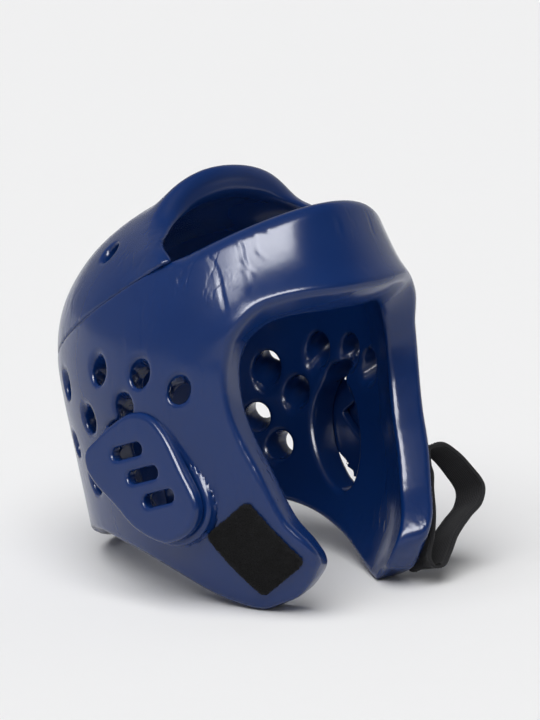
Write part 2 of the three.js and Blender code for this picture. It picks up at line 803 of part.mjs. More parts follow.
addPiece("shell", geometryOf(shell), skin);
addPiece("crown", geometryOf(crown), skin);
for (const side of [-1, 1]) {
  const hand = side < 0 ? "right" : "left";
  addPiece("ear_ring_" + hand, geometryOf(earRing(side, clearShell)), skin);
  addPiece("ear_plate_" + hand, geometryOf(earPlate(side, clearShell)), skin);
}
const raised = shellBody(-GAP - PATCH_THICK, -50, 225, 14);
addPiece("loop_patch", geometryOf(loopPatch(clearShell, raised)), loopPile);
addPiece("chin_strap", chinStrap(), elastic);

// The origin is the centre of the base of the whole headgear's box
const box = new THREE.Box3().setFromObject(group, true);
const centre = box.getCenter(new THREE.Vector3());
group.children.forEach((mesh) => mesh.geometry.translate(-centre.x, -centre.y, -box.min.z));

export default group;
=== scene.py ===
"""Taekwondo headgear of dipped foam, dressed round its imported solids.

The padding is worked out in the head's own frame, in millimetres: across (the wearer's left is
plus), back, and up. Every padded piece is the zero level of a distance, so its edges round off
as a dipped coat does, and the finished mesh is leaned back to where the headgear rests.
"""

from __future__ import annotations

import logging
import math
from dataclasses import dataclass, field
from enum import Enum
from typing import Any, Callable, Sequence

import bpy
import numpy as np
from mathutils import Matrix, Vector


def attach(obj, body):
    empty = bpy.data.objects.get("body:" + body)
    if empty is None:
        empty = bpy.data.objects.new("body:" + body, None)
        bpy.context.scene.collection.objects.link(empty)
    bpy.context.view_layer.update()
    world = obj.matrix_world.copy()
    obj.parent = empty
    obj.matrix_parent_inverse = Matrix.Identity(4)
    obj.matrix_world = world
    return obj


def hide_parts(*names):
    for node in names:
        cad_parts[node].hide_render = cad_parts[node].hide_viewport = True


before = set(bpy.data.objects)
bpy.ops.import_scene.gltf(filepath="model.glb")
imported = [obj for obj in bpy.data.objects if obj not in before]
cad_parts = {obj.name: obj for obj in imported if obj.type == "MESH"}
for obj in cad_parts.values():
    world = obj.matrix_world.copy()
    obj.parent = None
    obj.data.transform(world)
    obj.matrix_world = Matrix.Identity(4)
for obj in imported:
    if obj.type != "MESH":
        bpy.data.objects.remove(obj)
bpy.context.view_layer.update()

Array = np.ndarray
Distance = Callable[[Array], Array]

LOG = logging.getLogger("headgear")
MM = 0.001
OUT_OF_REACH = 60.0
BODY = "root"
PADDING_CELL, PADDING_CELL_QUICK = 1.7, 3.0
POD_CELL, POD_CELL_QUICK = 1.1, 2.0
PATCH_CELL = 0.9
STITCH_SHARE = 0.8
IMAGE_WIDTH = 540
IMAGE_HEIGHT = 720


class Slot(Enum):
    """Material slots of the record."""

    SKIN = "skin"
    LOOP_PILE = "loop_pile"
    ELASTIC = "elastic"


class Side(Enum):
    """Wearer's side of a paired piece, with the sign of its across coordinate."""

    RIGHT = -1
    LEFT = 1

    @property
    def word(self) -> str:
        """Word used in the names of nodes."""
        return self.name.lower()


# Distances and outlines


def rounded_and(a: Array, b: Array, radius: float | Array) -> Array:
    """Distance of what lies in both of two bodies, its edge rounded.

    Args:
        a: Distances from the first body, minus inside.
        b: Distances from the second body.
        radius: Radius of the edge where they meet.

    Returns:
        The joint distances.
    """
    inner = np.minimum(np.maximum(a, b), -radius)
    return inner + np.hypot(np.maximum(a + radius, 0.0), np.maximum(b + radius, 0.0))


def fillet(height: Array, radius: float) -> Array:
    """Width of a concave fillet at a height above the face it runs out on.

    Args:
        height: Heights above the face.
        radius: Radius of the fillet.

    Returns:
        How far the fillet reaches out at each height.
    """
    up = np.clip(height, 0.0, radius)
    return radius - np.sqrt(np.maximum(radius**2 - (radius - up) ** 2, 0.0))


def smooth_step(value: Array, low: float, high: float) -> Array:
    """Share from 0 at the low value to 1 at the high one, level at both ends."""
    t = np.clip((value - low) / (high - low), 0.0, 1.0)
    return t * t * (3.0 - 2.0 * t)


class Profile:
    """Smooth curve through a short table, with its slope."""

    def __init__(self, keys: Sequence[float], values: Sequence[float], samples: int = 1500) -> None:
        """Samples the curve once.

        Args:
            keys: Rising places of the table's rows.
            values: Values at those places.
            samples: How many samples are kept.
        """
        k = np.asarray(keys, float)
        v = np.asarray(values, float)
        before = np.maximum(np.arange(len(k)) - 1, 0)
        after = np.minimum(np.arange(len(k)) + 1, len(k) - 1)
        slope = (v[after] - v[before]) / (k[after] - k[before])
        self.places = np.linspace(k[0], k[-1], samples)
        i = np.clip(np.searchsorted(k, self.places, side="right") - 1, 0, len(k) - 2)
        span = k[i + 1] - k[i]
        t = (self.places - k[i]) / span
        self.samples = (
            (2 * t**3 - 3 * t**2 + 1) * v[i]
            + (t**3 - 2 * t**2 + t) * slope[i] * span
            + (3 * t**2 - 2 * t**3) * v[i + 1]
            + (t**3 - t**2) * slope[i + 1] * span
        )
        self.slopes = np.gradient(self.samples, self.places)

    def at(self, place: Array) -> Array:
        """Value at each place, held level past both ends."""
        return np.interp(place, self.places, self.samples)

    def slope_at(self, place: Array) -> Array:
        """Slope at each place, nothing past both ends."""
        return np.interp(place, self.places, self.slopes, left=0.0, right=0.0)


def smooth_line(points: Array, closed: bool = False, per: int = 6) -> Array:
    """Points of a smooth curve through flat or solid points.

    Args:
        points: Points that the curve runs through.
        closed: Whether it runs back to its start.
        per: Samples for each stretch.

    Returns:
        The sampled curve.
    """
    p = np.asarray(points, float)
    if closed:
        p = np.vstack([p[-1:], p, p[:2]])
    else:
        p = np.vstack([2 * p[:1] - p[1:2], p, 2 * p[-1:] - p[-2:-1]])
    share = (np.arange(per) / per)[:, None]
    line = []
    for a, b, c, d in zip(p, p[1:], p[2:], p[3:]):
        first, middle, last = (max(np.linalg.norm(q) ** 0.5, 1e-6) for q in (b - a, c - b, d - c))
        start = ((b - a) / first - (c - a) / (first + middle) + (c - b) / middle) * middle
        end = ((c - b) / middle - (d - b) / (middle + last) + (d - c) / last) * middle
        line.append(
            (2 * share**3 - 3 * share**2 + 1) * b
            + (share**3 - 2 * share**2 + share) * start
            + (3 * share**2 - 2 * share**3) * c
            + (share**3 - share**2) * end
        )
    if not closed:
        line.append(p[-2:-1])
    return np.vstack(line)


class Stencil:
    """Distance from a closed flat outline, kept on a fine grid. It is minus inside."""

    def __init__(self, outline: Array, margin: float = 45.0, step: float = 0.7) -> None:
        """Fills the grid.

        Args:
            outline: Corners of the outline.
            margin: How far the grid reaches past it.
            step: Pitch of the grid.
        """
        self.step = step
        self.low = outline.min(0) - margin
        counts = np.ceil((outline.max(0) + margin - self.low) / step).astype(int) + 1
        a = self.low[0] + step * np.arange(counts[0])[:, None]
        b = self.low[1] + step * np.arange(counts[1])[None, :]
        least = np.full(tuple(counts), np.inf)
        inside = np.zeros(tuple(counts), bool)
        for (pa, pb), (qa, qb) in zip(outline, np.roll(outline, -1, 0)):
            da, db = qa - pa, qb - pb
            length2 = max(da * da + db * db, 1e-12)
            t = np.clip(((a - pa) * da + (b - pb) * db) / length2, 0.0, 1.0)
            least = np.minimum(least, (a - pa - t * da) ** 2 + (b - pb - t * db) ** 2)
            if db:
                inside ^= ((pb > b) != (qb > b)) & (a < pa + (b - pb) * da / db)
        self.grid = np.where(inside, -1.0, 1.0) * np.sqrt(least)

    def at(self, a: Array, b: Array) -> Array:
        """Distance at flat places.

        Args:
            a: First coordinates.
            b: Second coordinates.

        Returns:
            The distances.
        """
        top = np.array(self.grid.shape) - 1.001
        u = np.clip((a - self.low[0]) / self.step, 0.0, top[0])
        v = np.clip((b - self.low[1]) / self.step, 0.0, top[1])
        i, j = u.astype(int), v.astype(int)
        s, t = u - i, v - j
        g = self.grid
        low = g[i, j] * (1 - s) + g[i + 1, j] * s
        high = g[i, j + 1] * (1 - s) + g[i + 1, j + 1] * s
        return low * (1 - t) + high * t


def oval(
    across: Array, back: Array, half: Array, reach: Array, half_slope: Array, reach_slope: Array
) -> Array:
    """Distance from a stack of ovals.

    Args:
        across: Places across.
        back: Places back from the ovals' middle.
        half: Half width of the oval at each place's height.
        reach: Its reach to the front or to the back.
        half_slope: Change of the half width with height.
        reach_slope: Change of the reach with height.

    Returns:
        Distances, minus inside.
    """
    q = np.sqrt((across / half) ** 2 + (back / reach) ** 2) + 1e-6
    slope = (across**2 * half_slope / half**3 + back**2 * reach_slope / reach**3) / q
    steep = np.sqrt((across / half**2) ** 2 + (back / reach**2) ** 2) / q
    return (q - 1.0) / np.sqrt(steep**2 + slope**2 + 1e-12)


# Meshes


@dataclass(frozen=True)
class HeadFrame:
    """Place of the head's own frame in the part's frame."""

    lean_deg: float = 20.0
    shift_mm: tuple[float, float, float] = (-1.55, -4.93, 0.80)

    @property
    def turn(self) -> Array:
        """Rotation from the head's frame to the part's."""
        c, s = math.cos(math.radians(self.lean_deg)), math.sin(math.radians(self.lean_deg))
        return np.array([[1.0, 0.0, 0.0], [0.0, c, s], [0.0, -s, c]])

    def place(self, points: Array) -> Array:
        """Points of the head's frame, in millimetres, as points of the part in metres."""
        return (points @ self.turn.T + np.array(self.shift_mm)) * MM


HEAD = HeadFrame()


@dataclass(frozen=True)
class Net:
    """Mesh of quads drawn over the zero level of a distance."""

    cell: float = 1.7
    probe: float = 0.25
    relaxed: int = 3

    def sampled(self, distance: Distance, axes: list[Array]) -> Array:
        """Distances on a grid, worked out slab by slab.

        Args:
            distance: Distance to sample.
            axes: Places along each axis of the grid.

        Returns:
            The distances, in the grid's shape.
        """
        values = np.empty([len(a) for a in axes])
        slab = 6
        for i in range(0, len(axes[0]), slab):
            grid = np.stack(np.meshgrid(axes[0][i : i + slab], axes[1], axes[2], indexing="ij"), -1)
            values[i : i + slab] = distance(grid.reshape(-1, 3)).reshape(grid.shape[:3])
        return values

    def drawn(self, distance: Distance, low: Sequence[float], high: Sequence[float]) -> tuple[Array, Array]:
        """Points and quads of the zero level within a box.

        Args:
            distance: Distance to draw.
            low: Lowest corner of the box.
            high: Highest corner of the box.

        Returns:
            The points and the corners of the quads.
        """
        start = np.asarray(low, float)
        axes = [np.arange(a, b + self.cell, self.cell) for a, b in zip(low, high)]
        values = self.sampled(distance, axes)
        inside = values < 0.0
        ends = (slice(0, -1), slice(1, None))
        corners = sum(inside[a, b, c].astype(int) for a in ends for b in ends for c in ends)
        active = (corners > 0) & (corners < 8)
        index = np.full(active.shape, -1)
        index[active] = np.arange(active.sum())
        cells = np.argwhere(active)
        total = np.zeros((len(cells), 3))
        hits = np.zeros(len(cells))
        unit = np.eye(3, dtype=int)
        for axis in range(3):
            u, v = unit[(axis + 1) % 3], unit[(axis + 2) % 3]
            for offset in (0 * u, u, v, u + v):
                a = cells + offset
                b = a + unit[axis]
                va, vb = values[tuple(a.T)], values[tuple(b.T)]
                cross = (va < 0.0) != (vb < 0.0)
                share = np.where(cross, va / np.where(cross, va - vb, 1.0), 0.0)
                total[cross] += (a + share[:, None] * unit[axis])[cross]
                hits[cross] += 1
        points = start + self.cell * total / hits[:, None]
        quads = []
        for axis in range(3):
            u, v = unit[(axis + 1) % 3], unit[(axis + 2) % 3]
            here = [slice(1, -1)] * 3
            there = [slice(1, -1)] * 3
            here[axis], there[axis] = slice(0, -1), slice(1, None)
            a, b = inside[tuple(here)], inside[tuple(there)]
            first = np.array([1, 1, 1]) - unit[axis]
            for out, cross in ((1, a & ~b), (-1, b & ~a)):
                edge = np.argwhere(cross) + first
                ring = [edge - u - v, edge - v, edge, edge - u]
                quads.append(np.stack([index[tuple(r.T)] for r in ring], -1)[:, ::out])
        return self.settled(distance, points, np.vstack(quads))

    def settled(self, distance: Distance, points: Array, quads: Array) -> tuple[Array, Array]:
        """Evens out the points and sets them on the zero level.

        Args:
            distance: Distance on whose zero level they are set.
            points: Points of the mesh.
            quads: Corners of its quads.

        Returns:
            The points and the quads.
        """
        ends = np.vstack([quads[:, [k, (k + 1) % 4]] for k in range(4)])
        count = np.bincount(ends[:, 0], minlength=len(points))
        for _ in range(self.relaxed):
            middle = np.stack(
                [np.bincount(ends[:, 0], points[ends[:, 1], k], len(points)) for k in range(3)], -1
            )
            points = 0.4 * points + 0.6 * middle / np.maximum(count, 1)[:, None]
            points = self.seated(distance, points)
        return self.seated(distance, self.seated(distance, points)), quads

    def seated(self, distance: Distance, points: Array) -> Array:
        """Points moved on to the zero level along the distance's slope.

        Args:
            distance: Distance on whose zero level they are set.
            points: Points of the mesh.

        Returns:
            The moved points.
        """
        value = distance(points)
        slope = np.stack(
            [
                (distance(points + self.probe * e) - distance(points - self.probe * e)) / (2 * self.probe)
                for e in np.eye(3)
            ],
            -1,
        )
        size2 = np.maximum((slope**2).sum(-1), 0.05)
        step = np.clip(value / size2, -0.5 * self.cell, 0.5 * self.cell)
        return points - step[:, None] * slope


def mesh_piece(name: str, points: Array, faces: Array, smooth: bool = True) -> bpy.types.Object:
    """New piece from points of the head's frame.

    Args:
        name: Name of the piece.
        points: Points in millimetres.
        faces: Corners of its faces.
        smooth: Whether it is shaded smooth.

    Returns:
        The object, linked to the scene, with its place in its mesh.
    """
    mesh = bpy.data.meshes.new(name)
    mesh.from_pydata(HEAD.place(points).tolist(), [], faces.tolist())
    mesh.polygons.foreach_set("use_smooth", [smooth] * len(mesh.polygons))
    mesh.update()
    piece = bpy.data.objects.new(name, mesh)
    bpy.context.scene.collection.objects.link(piece)
    return piece


def dressed(piece: bpy.types.Object, slot: Slot, finish: bpy.types.Material, *nodes: str) -> bpy.types.Object:
    """Gives a piece its finish, hangs it on the body and hides the solids that it stands for.

    Args:
        piece: Finished piece.
        slot: Not used.
        finish: Its material.
        *nodes: Solids that it stands for.

    Returns:
        The same piece.
    """
    piece.data.materials.clear()
    piece.data.materials.append(finish)
    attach(piece, BODY)
    if nodes:
        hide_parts(*nodes)
    LOG.info("%s: %d faces", piece.name, len(piece.data.polygons))
    return piece


# Shader maths


class Value:
    """Socket of a shader tree with the operators of plain arithmetic."""

    def __init__(self, nodes: "Nodes", socket: bpy.types.NodeSocket) -> None:
        """Keeps the socket and the tree that it belongs to."""
        self.nodes = nodes
        self.socket = socket

    def _with(self, operation: str, *others: Any) -> "Value":
        """Math node on values in their order."""
        node = self.nodes.node("ShaderNodeMath", {"operation": operation}, dict(enumerate(others)))
        return Value(self.nodes, node.outputs[0])

    def __add__(self, other: Any) -> "Value":
        """Sum."""
        return self._with("ADD", self, other)

    __radd__ = __add__

    def __sub__(self, other: Any) -> "Value":
        """Difference."""
        return self._with("SUBTRACT", self, other)

    def __mul__(self, other: Any) -> "Value":
        """Product."""
        return self._with("MULTIPLY", self, other)

    __rmul__ = __mul__

    def wave(self) -> "Value":
        """Sine of the value."""
        return self._with("SINE", self)

    def size(self) -> "Value":
        """Absolute value."""
        return self._with("ABSOLUTE", self)

    def share(self, low: float, high: float) -> "Value":
        """Share from 0 to 1 between two numbers.

        Args:
            low: Value at which the share is 0.
            high: Value at which the share is 1.

        Returns:
            The share.
        """
        node = self.nodes.node(
            "ShaderNodeMapRange",
            {"interpolation_type": "SMOOTHSTEP"},
            {"Value": self, "From Min": low, "From Max": high},
        )
        return Value(self.nodes, node.outputs[0])


class Nodes:
    """Node tree of a material, a room or a grower."""

    def __init__(self, tree: bpy.types.NodeTree) -> None:
        """Keeps the tree."""
        self.tree = tree

    def node(
        self, kind: str, settings: dict[str, Any] | None = None, inputs: dict[Any, Any] | None = None
    ) -> bpy.types.Node:
        """Adds a node.

        Args:
            kind: Type of the node.
            settings: Attributes that are set first.
            inputs: Values or links of its sockets, by name or number.

        Returns:
            The node.
        """
        node = self.tree.nodes.new(kind)
        for key, value in (settings or {}).items():
            if key == "stops":
                for stop, (place, shade) in zip(self._stops(node, len(value)), value):
                    stop.position = place
                    stop.color = (*shade, 1.0)
            else:
                setattr(node, key, value)
        self.set(node, inputs or {})
        return node

    @staticmethod
    def _stops(node: bpy.types.Node, count: int) -> Sequence[Any]:
        """Stops of a ramp, as many as asked for.

        Args:
            node: Node that holds the ramp.
            count: How many stops it is to have.

        Returns:
            The stops.
        """
        ramp = node.color_ramp.elements
        while len(ramp) < count:
            ramp.new(1.0)
        return ramp

    def set(self, node: bpy.types.Node, inputs: dict[Any, Any]) -> None:
        """Sets or links the sockets of a node.

        Args:
            node: Node whose sockets are set.
            inputs: Values or links, by the socket's name or number.
        """
        for key, value in inputs.items():
            socket = node.inputs[key]
            if isinstance(value, Value):
                self.tree.links.new(value.socket, socket)
            elif isinstance(value, bpy.types.NodeSocket):
                self.tree.links.new(value, socket)
            else:
                socket.default_value = value


class Sheet(Nodes):
    """One material's node tree and its shader."""

    def __init__(self, name: str) -> None:
        """Makes an empty material with its shader.

        Args:
            name: Name of the material.
        """
        self.material = bpy.data.materials.new(name)
        self.material.use_nodes = True
        super().__init__(self.material.node_tree)
        self.tree.nodes.clear()
        self.shader = self.node("ShaderNodeBsdfPrincipled")
        self.node("ShaderNodeOutputMaterial", {}, {"Surface": self.shader.outputs[0]})

    def noise(
        self, scale: float, detail: float = 3.0, stretch: tuple[float, float, float] = (1, 1, 1)
    ) -> Value:
        """Cloudy pattern on object coordinates.

        Args:
            scale: Clouds per metre.
            detail: Layers of finer clouds.
            stretch: How many times as dense it is along each axis.

        Returns:
            The pattern, from 0 to 1.
        """
        place = self.node("ShaderNodeTexCoord").outputs["Object"]
        mapped = self.node("ShaderNodeMapping", {}, {"Vector": place, "Scale": stretch})
        sockets = {"Vector": mapped.outputs[0], "Scale": scale, "Detail": detail}
        cloud = self.node("ShaderNodeTexNoise", {}, sockets)
        return Value(self, cloud.outputs[0])

    def mixed(self, share: Value, low: Sequence[float], high: Sequence[float]) -> bpy.types.NodeSocket:
        """Colour between two by a share."""
        ramp = self.node("ShaderNodeValToRGB", {"stops": ((0.0, low), (1.0, high))}, {0: share})
        return ramp.outputs[0]

    def bumped(self, height: Value, deep_mm: float) -> None:
        """Raises the shader's surface by a height of 0 to 1."""
        bump = self.node("ShaderNodeBump", {}, {"Height": height, "Distance": deep_mm * MM})
        self.set(self.shader, {"Normal": bump.outputs[0]})


@dataclass(frozen=True)
class DippedSkin:
    """Glossy vinyl coat that the foam was dipped in."""

    deep: tuple[float, float, float] = (0.0025, 0.020, 0.105)
    light: tuple[float, float, float] = (0.0035, 0.026, 0.128)
    roughness: float = 0.22
    blotch_per_m: float = 28.0
    peel_per_m: float = 240.0
    wrinkle_per_m: float = 75.0
    deep_mm: float = 0.35

    def made(self, name: str) -> bpy.types.Material:
        """Material of this finish.

        Args:
            name: Name of the material.

        Returns:
            The material.
        """
        sheet = Sheet(name)
        blotch = sheet.noise(self.blotch_per_m, 2.0)
        peel = sheet.noise(self.peel_per_m, 2.0)
        wrinkle = sheet.noise(self.wrinkle_per_m, 3.0, (1.0, 1.0, 0.28))
        ridge = (wrinkle - 0.5).size().share(0.0, 0.09)
        patch = sheet.noise(self.blotch_per_m * 0.7, 1.0).share(0.50, 0.66)
        sheet.set(
            sheet.shader,
            {
                "Base Color": sheet.mixed(blotch, self.deep, self.light),
                "Roughness": blotch * 0.10 + peel * 0.06 + (self.roughness - 0.08),
                "IOR": 1.43,
                "Coat Weight": 0.1,
                "Coat Roughness": 0.10,
            },
        )
        sheet.bumped(peel * 0.10 + blotch * 0.55 + ridge * patch * 0.30, self.deep_mm)
        return sheet.material


@dataclass(frozen=True)
class LoopPile:
    """Black pile of fine loops."""

    deep: tuple[float, float, float] = (0.0015, 0.0015, 0.002)
    light: tuple[float, float, float] = (0.005, 0.005, 0.0065)
    tuft_per_m: float = 900.0

    def made(self, name: str) -> bpy.types.Material:
        """Material of this finish.

        Args:
            name: Name of the material.

        Returns:
            The material.
        """
        sheet = Sheet(name)
        tuft = sheet.noise(self.tuft_per_m, 3.0)
        tone = (tuft + sheet.noise(150.0, 1.0)) * 0.5
        sheet.set(
            sheet.shader,
            {
                "Base Color": sheet.mixed(tone.share(0.3, 0.75), self.deep, self.light),
                "Roughness": 0.95,
                "Sheen Weight": 0.03,
                "Specular IOR Level": 0.25,
            },
        )
        sheet.bumped(tuft, 0.7)
        return sheet.material


@dataclass(frozen=True)
class KnitElastic:
    """Black knitted elastic, its ribs along the strap's own length."""

    deep: tuple[float, float, float] = (0.002, 0.002, 0.0028)
    light: tuple[float, float, float] = (0.014, 0.014, 0.018)
    rib_per_m: float = 700.0
    course_per_m: float = 850.0

    def made(self, name: str) -> bpy.types.Material:
        """Material of this finish.

        Args:
            name: Name of the material.

        Returns:
            The material.
        """
        sheet = Sheet(name)
        place = sheet.node("ShaderNodeUVMap", {"uv_map": "weave"}).outputs[0]
        parts = sheet.node("ShaderNodeSeparateXYZ", {}, {0: place})
        along, across = Value(sheet, parts.outputs[0]), Value(sheet, parts.outputs[1])
        rib = (across * (2 * math.pi * self.rib_per_m)).wave() * 0.5 + 0.5
        lean = (across * (math.pi * self.rib_per_m)).wave() * 1.2
        course = (along * (2 * math.pi * self.course_per_m) + lean).wave() * 0.5 + 0.5
        fuzz = sheet.noise(1400.0, 2.0)
        knit = rib * 0.6 + course * 0.4
        sheet.set(
            sheet.shader,
            {
                "Base Color": sheet.mixed(knit * 0.7 + fuzz * 0.3, self.deep, self.light),
                "Roughness": 0.88,
                "Sheen Weight": 0.07,
                "Specular IOR Level": 0.3,
            },
        )
        sheet.bumped(knit * 0.8 + fuzz * 0.2, 0.35)
        return sheet.material


@dataclass(frozen=True)
class SewingThread:
    """Twisted black thread."""

    shade: tuple[float, float, float] = (0.03, 0.03, 0.034)

    def made(self, name: str) -> bpy.types.Material:
        """Material of this finish.

        Args:
            name: Name of the material.

        Returns:
            The material.
        """
        sheet = Sheet(name)
        twist = sheet.noise(2500.0, 1.0)
        sheet.set(
            sheet.shader,
            {
                "Base Color": sheet.mixed(twist, tuple(0.6 * c for c in self.shade), self.shade),
                "Roughness": 0.6,
            },
        )
        sheet.bumped(twist, 0.08)
        return sheet.material


@dataclass(frozen=True)
class StudioPaper:
    """Pale floor of the studio."""

    shade: tuple[float, float, float] = (0.86, 0.86, 0.865)

    def made(self, name: str) -> bpy.types.Material:
        """Material of this finish.

        Args:
            name: Name of the material.

        Returns:
            The material.
        """
        sheet = Sheet(name)
        grain = sheet.noise(60.0, 1.0)
        low = tuple(0.995 * c for c in self.shade)
        sheet.set(sheet.shader, {"Base Color": sheet.mixed(grain, low, self.shade), "Roughness": 0.95})
        sheet.set(sheet.shader, {"Specular IOR Level": 0.1})
        return sheet.material


# Padding


@dataclass(frozen=True)
class Vent:
    """Round hole drilled from the outer face toward the middle of the head."""

    back: float
    up: float
    radius: float = 6.7
    mouth: float = 2.8
    reach: float = 46.0
    inner_flare: float = 2.2
    flare_from: float = 7.0


def bored(body: Array, p: Array, vent: Vent, mouth: Array, out: Array, wall: float) -> Array:
    """Body with a vent on both sides, its mouths rounded.

    Args:
        body: Distances from the body.
        p: Places of those distances.
        vent: Vent to bore.
        mouth: Middle of its mouth on the left side.
        out: Direction out of the head.
        wall: Depth at which it has widened fully.

    Returns:
        The distances from what is left.
    """
    offset = np.stack([np.abs(p[:, 0]), p[:, 1], p[:, 2]], -1) - mouth
    along = offset @ out
    radial = np.sqrt(np.maximum((offset**2).sum(-1) - along**2, 0.0))
    radial = radial - vent.inner_flare * smooth_step(-along, vent.flare_from, wall)
    radial = np.where(along < -vent.reach, OUT_OF_REACH, radial)
    return rounded_and(body, vent.radius - radial, vent.mouth)


@dataclass(frozen=True)
class Crease:
    """Fold line in the coat between two places of the front, across and up."""

    start: tuple[float, float]
    end: tuple[float, float]
    deep: float = 0.55
    wide: float = 1.5


@dataclass
class SideShell:
    """Side shell of the padding with the forehead band, cheek flaps and nape rim."""

    half_width: float = 97.0
    front_reach: float = 117.0
    back_reach: float = 117.0
    widest_up: float = 118.0
    centre_back: float = -40.0
    wall: float = 20.0
    seam_up_at_brow: float = 192.0
    seam_slope: float = 0.24
    brow_back: float = -162.0
    brow_edge_up: float = 135.0
    opening_half_width: float = 76.0
    brow_chamfer: float = 12.0
    ear_back: float = -32.0
    ear_up: float = 62.0
    ear_half_length: float = 35.0
    ear_half_width: float = 20.0
    edge_round: float = 3.2
    jaw_round: float = 2.6
    jaw_drop: float = 1.8
    brow_flare: float = 3.4
    flare_fade: float = 11.0
    ear_round: float = 3.0
    ear_turn_deg: float = 18.0
    ear_swell: float = 0.12
    band_round: float = 8.5
    seam_round: float = 1.6
    inner_round: float = 3.0
    inner_round_at_band: float = 5.0
    swell: float = 0.22
    rim_taper: float = 0.13
    vent_focus_up: float = 60.0
    # places back between which the band's wider roundings start, and those between which the jaw line drops
    band_ahead: tuple[float, float] = (84.0, 97.0)
    jaw_front: tuple[float, float] = (-80.0, -62.0)
    jaw_back: tuple[float, float] = (10.0, 40.0)
    # heights between which the brow's rim starts to flare
    brow_heights: tuple[float, float] = (112.0, 134.0)
    # slant of the face opening's cut by its height, a share of the brow edge's height turned down
    slant_places: tuple[float, ...] = (-1.05, -0.98, -0.9, -0.75, -0.4, 0.0, 0.1, 0.19)
    slant_shares: tuple[float, ...] = (1.0, 0.8, 0.4, 0.2, 0.0, 0.0, -0.3, -0.5)
    # up, half width, reach to the front, reach to the back
    sections: tuple[tuple[float, float, float, float], ...] = (
        (-0.29, 0.58, 0.684, 1.3),
        (-0.186, 0.642, 0.735, 1.284),
        (0.0, 0.753, 0.88, 1.235),
        (0.17, 0.822, 0.927, 1.195),
        (0.347, 0.88, 0.944, 1.15),
        (0.534, 0.92, 0.957, 1.107),
        (0.788, 0.97, 1.0, 1.048),
        (1.0, 1.0, 1.0, 1.0),
        (1.22, 0.984, 0.983, 0.98),
        (1.441, 0.907, 0.957, 0.89),
        (1.695, 0.773, 0.957, 0.718),
    )
    # across, up, and how far the cut drops inward
    opening: tuple[tuple[float, float, float], ...] = (
        (0.0, 1.0, 1.0),
        (0.17, 1.0, 1.0),
        (0.34, 1.005, 1.0),
        (0.5, 1.012, 0.95),
        (0.65, 1.012, 0.85),
        (0.76, 1.0, 0.7),
        (0.86, 0.96, 0.55),
        (0.94, 0.9, 0.4),
        (0.985, 0.83, 0.3),
        (1.0, 0.75, 0.2),
        (0.99, 0.63, 0.1),
        (0.9, 0.41, 0.0),
        (0.775, 0.15, 0.0),
        (0.66, 0.035, 0.0),
        (0.583, -0.04, -0.1),
        (0.555, -0.09, -0.25),
        (0.575, -0.143, -0.4),
        (0.62, -0.188, -0.5),
        (0.7, -0.212, -0.5),
        (0.76, -0.55, -0.5),
    )
    # back and up of the lower edge, from the front to the nape
    jaw: tuple[tuple[float, float], ...] = (
        (-1.3, -0.03),
        (-0.95, -0.1),
        (-0.89, -0.163),
        (-0.81, -0.215),
        (-0.71, -0.228),
        (-0.63, -0.222),
        (-0.55, -0.182),
        (-0.43, -0.098),
        (-0.27, 0.042),
        (-0.055, 0.193),
        (0.18, 0.3),
        (0.34, 0.335),
        (0.49, 0.345),
        (0.65, 0.322),
        (0.78, 0.292),
        (1.2, 0.28),
    )
    vents: tuple[Vent, ...] = (
        Vent(-0.73, 0.885),
        Vent(-0.54, 1.01),
        Vent(-0.255, 1.085),
        Vent(0.14, 1.07),
        Vent(-0.37, 0.875),
        Vent(-0.04, 0.87),
        Vent(0.27, 0.775),
        Vent(0.14, 0.56),
    )
    creases: tuple[Crease, ...] = (
        Crease((-67.6, 177.0), (-68.8, 129.5), 0.5, 1.6),
        Crease((-76.3, 172.0), (-78.1, 157.5), 0.6, 1.4),
        Crease((-78.4, 172.0), (-79.8, 165.0), 0.6, 1.4),
        Crease((-56.8, 180.5), (-54.6, 155.5), 0.5, 1.7),
        Crease((-58.4, 161.5), (-58.5, 138.5), 0.5, 1.7),
        Crease((-64.2, 143.5), (-64.1, 133.0), 0.5, 1.5),
        Crease((-44.4, 184.0), (-41.2, 176.5), 0.4, 1.6),
        Crease((-50.0, 182.0), (-47.5, 163.0), 0.35, 1.7),
        Crease((-4.8, 179.0), (-0.5, 165.0), 0.35, 1.8),
        Crease((3.9, 149.0), (7.0, 140.0), 0.35, 1.8),
        Crease((24.0, 180.0), (29.0, 162.0), 0.3, 1.8),
    )
    # corners of the box in which the mesh is drawn
    box_low: tuple[float, float, float] = (-101.0, -163.0, -36.0)
    box_high: tuple[float, float, float] = (101.0, 104.0, 198.0)
    profiles: dict[str, Profile] = field(default_factory=dict)
    stencils: dict[str, Stencil] = field(default_factory=dict)

    def __post_init__(self) -> None:
        """Works out the sections, the stencils and the places of vents and creases."""
        rows = np.array(self.sections)
        up = rows[:, 0] * self.widest_up
        for column, (name, size) in enumerate(
            (("half", self.half_width), ("front", self.front_reach), ("back", self.back_reach)), 1
        ):
            self.profiles[name] = Profile(up, rows[:, column] * size)
        face = np.array(self.opening)
        half = smooth_line(face[:, :2] * (self.opening_half_width, self.brow_edge_up), per=5)
        self.stencils["face"] = Stencil(np.vstack([half, half[::-1] * (-1, 1)]))
        line = smooth_line(np.array(self.jaw) * self.widest_up, per=5)
        self.stencils["jaw"] = Stencil(np.vstack([line, [[200, -150], [-200, -150]]]))
        turn = math.radians(self.ear_turn_deg)
        a = np.arange(48) / 48 * 2 * math.pi
        along = self.ear_half_length * np.cos(a)
        wide = self.ear_half_width * np.sin(a) * (1 + self.ear_swell * np.cos(a))
        self.stencils["ear"] = Stencil(
            np.stack(
                [
                    self.ear_back + along * math.sin(turn) * 0.4 + wide * math.cos(turn),
                    self.ear_up + along * math.cos(turn) - wide * math.sin(turn),
                ],
                -1,
            )
        )
        self.drills = [self.drill(v) for v in self.vents]
        self.folds = [(c, *self.fold(c)) for c in self.creases]

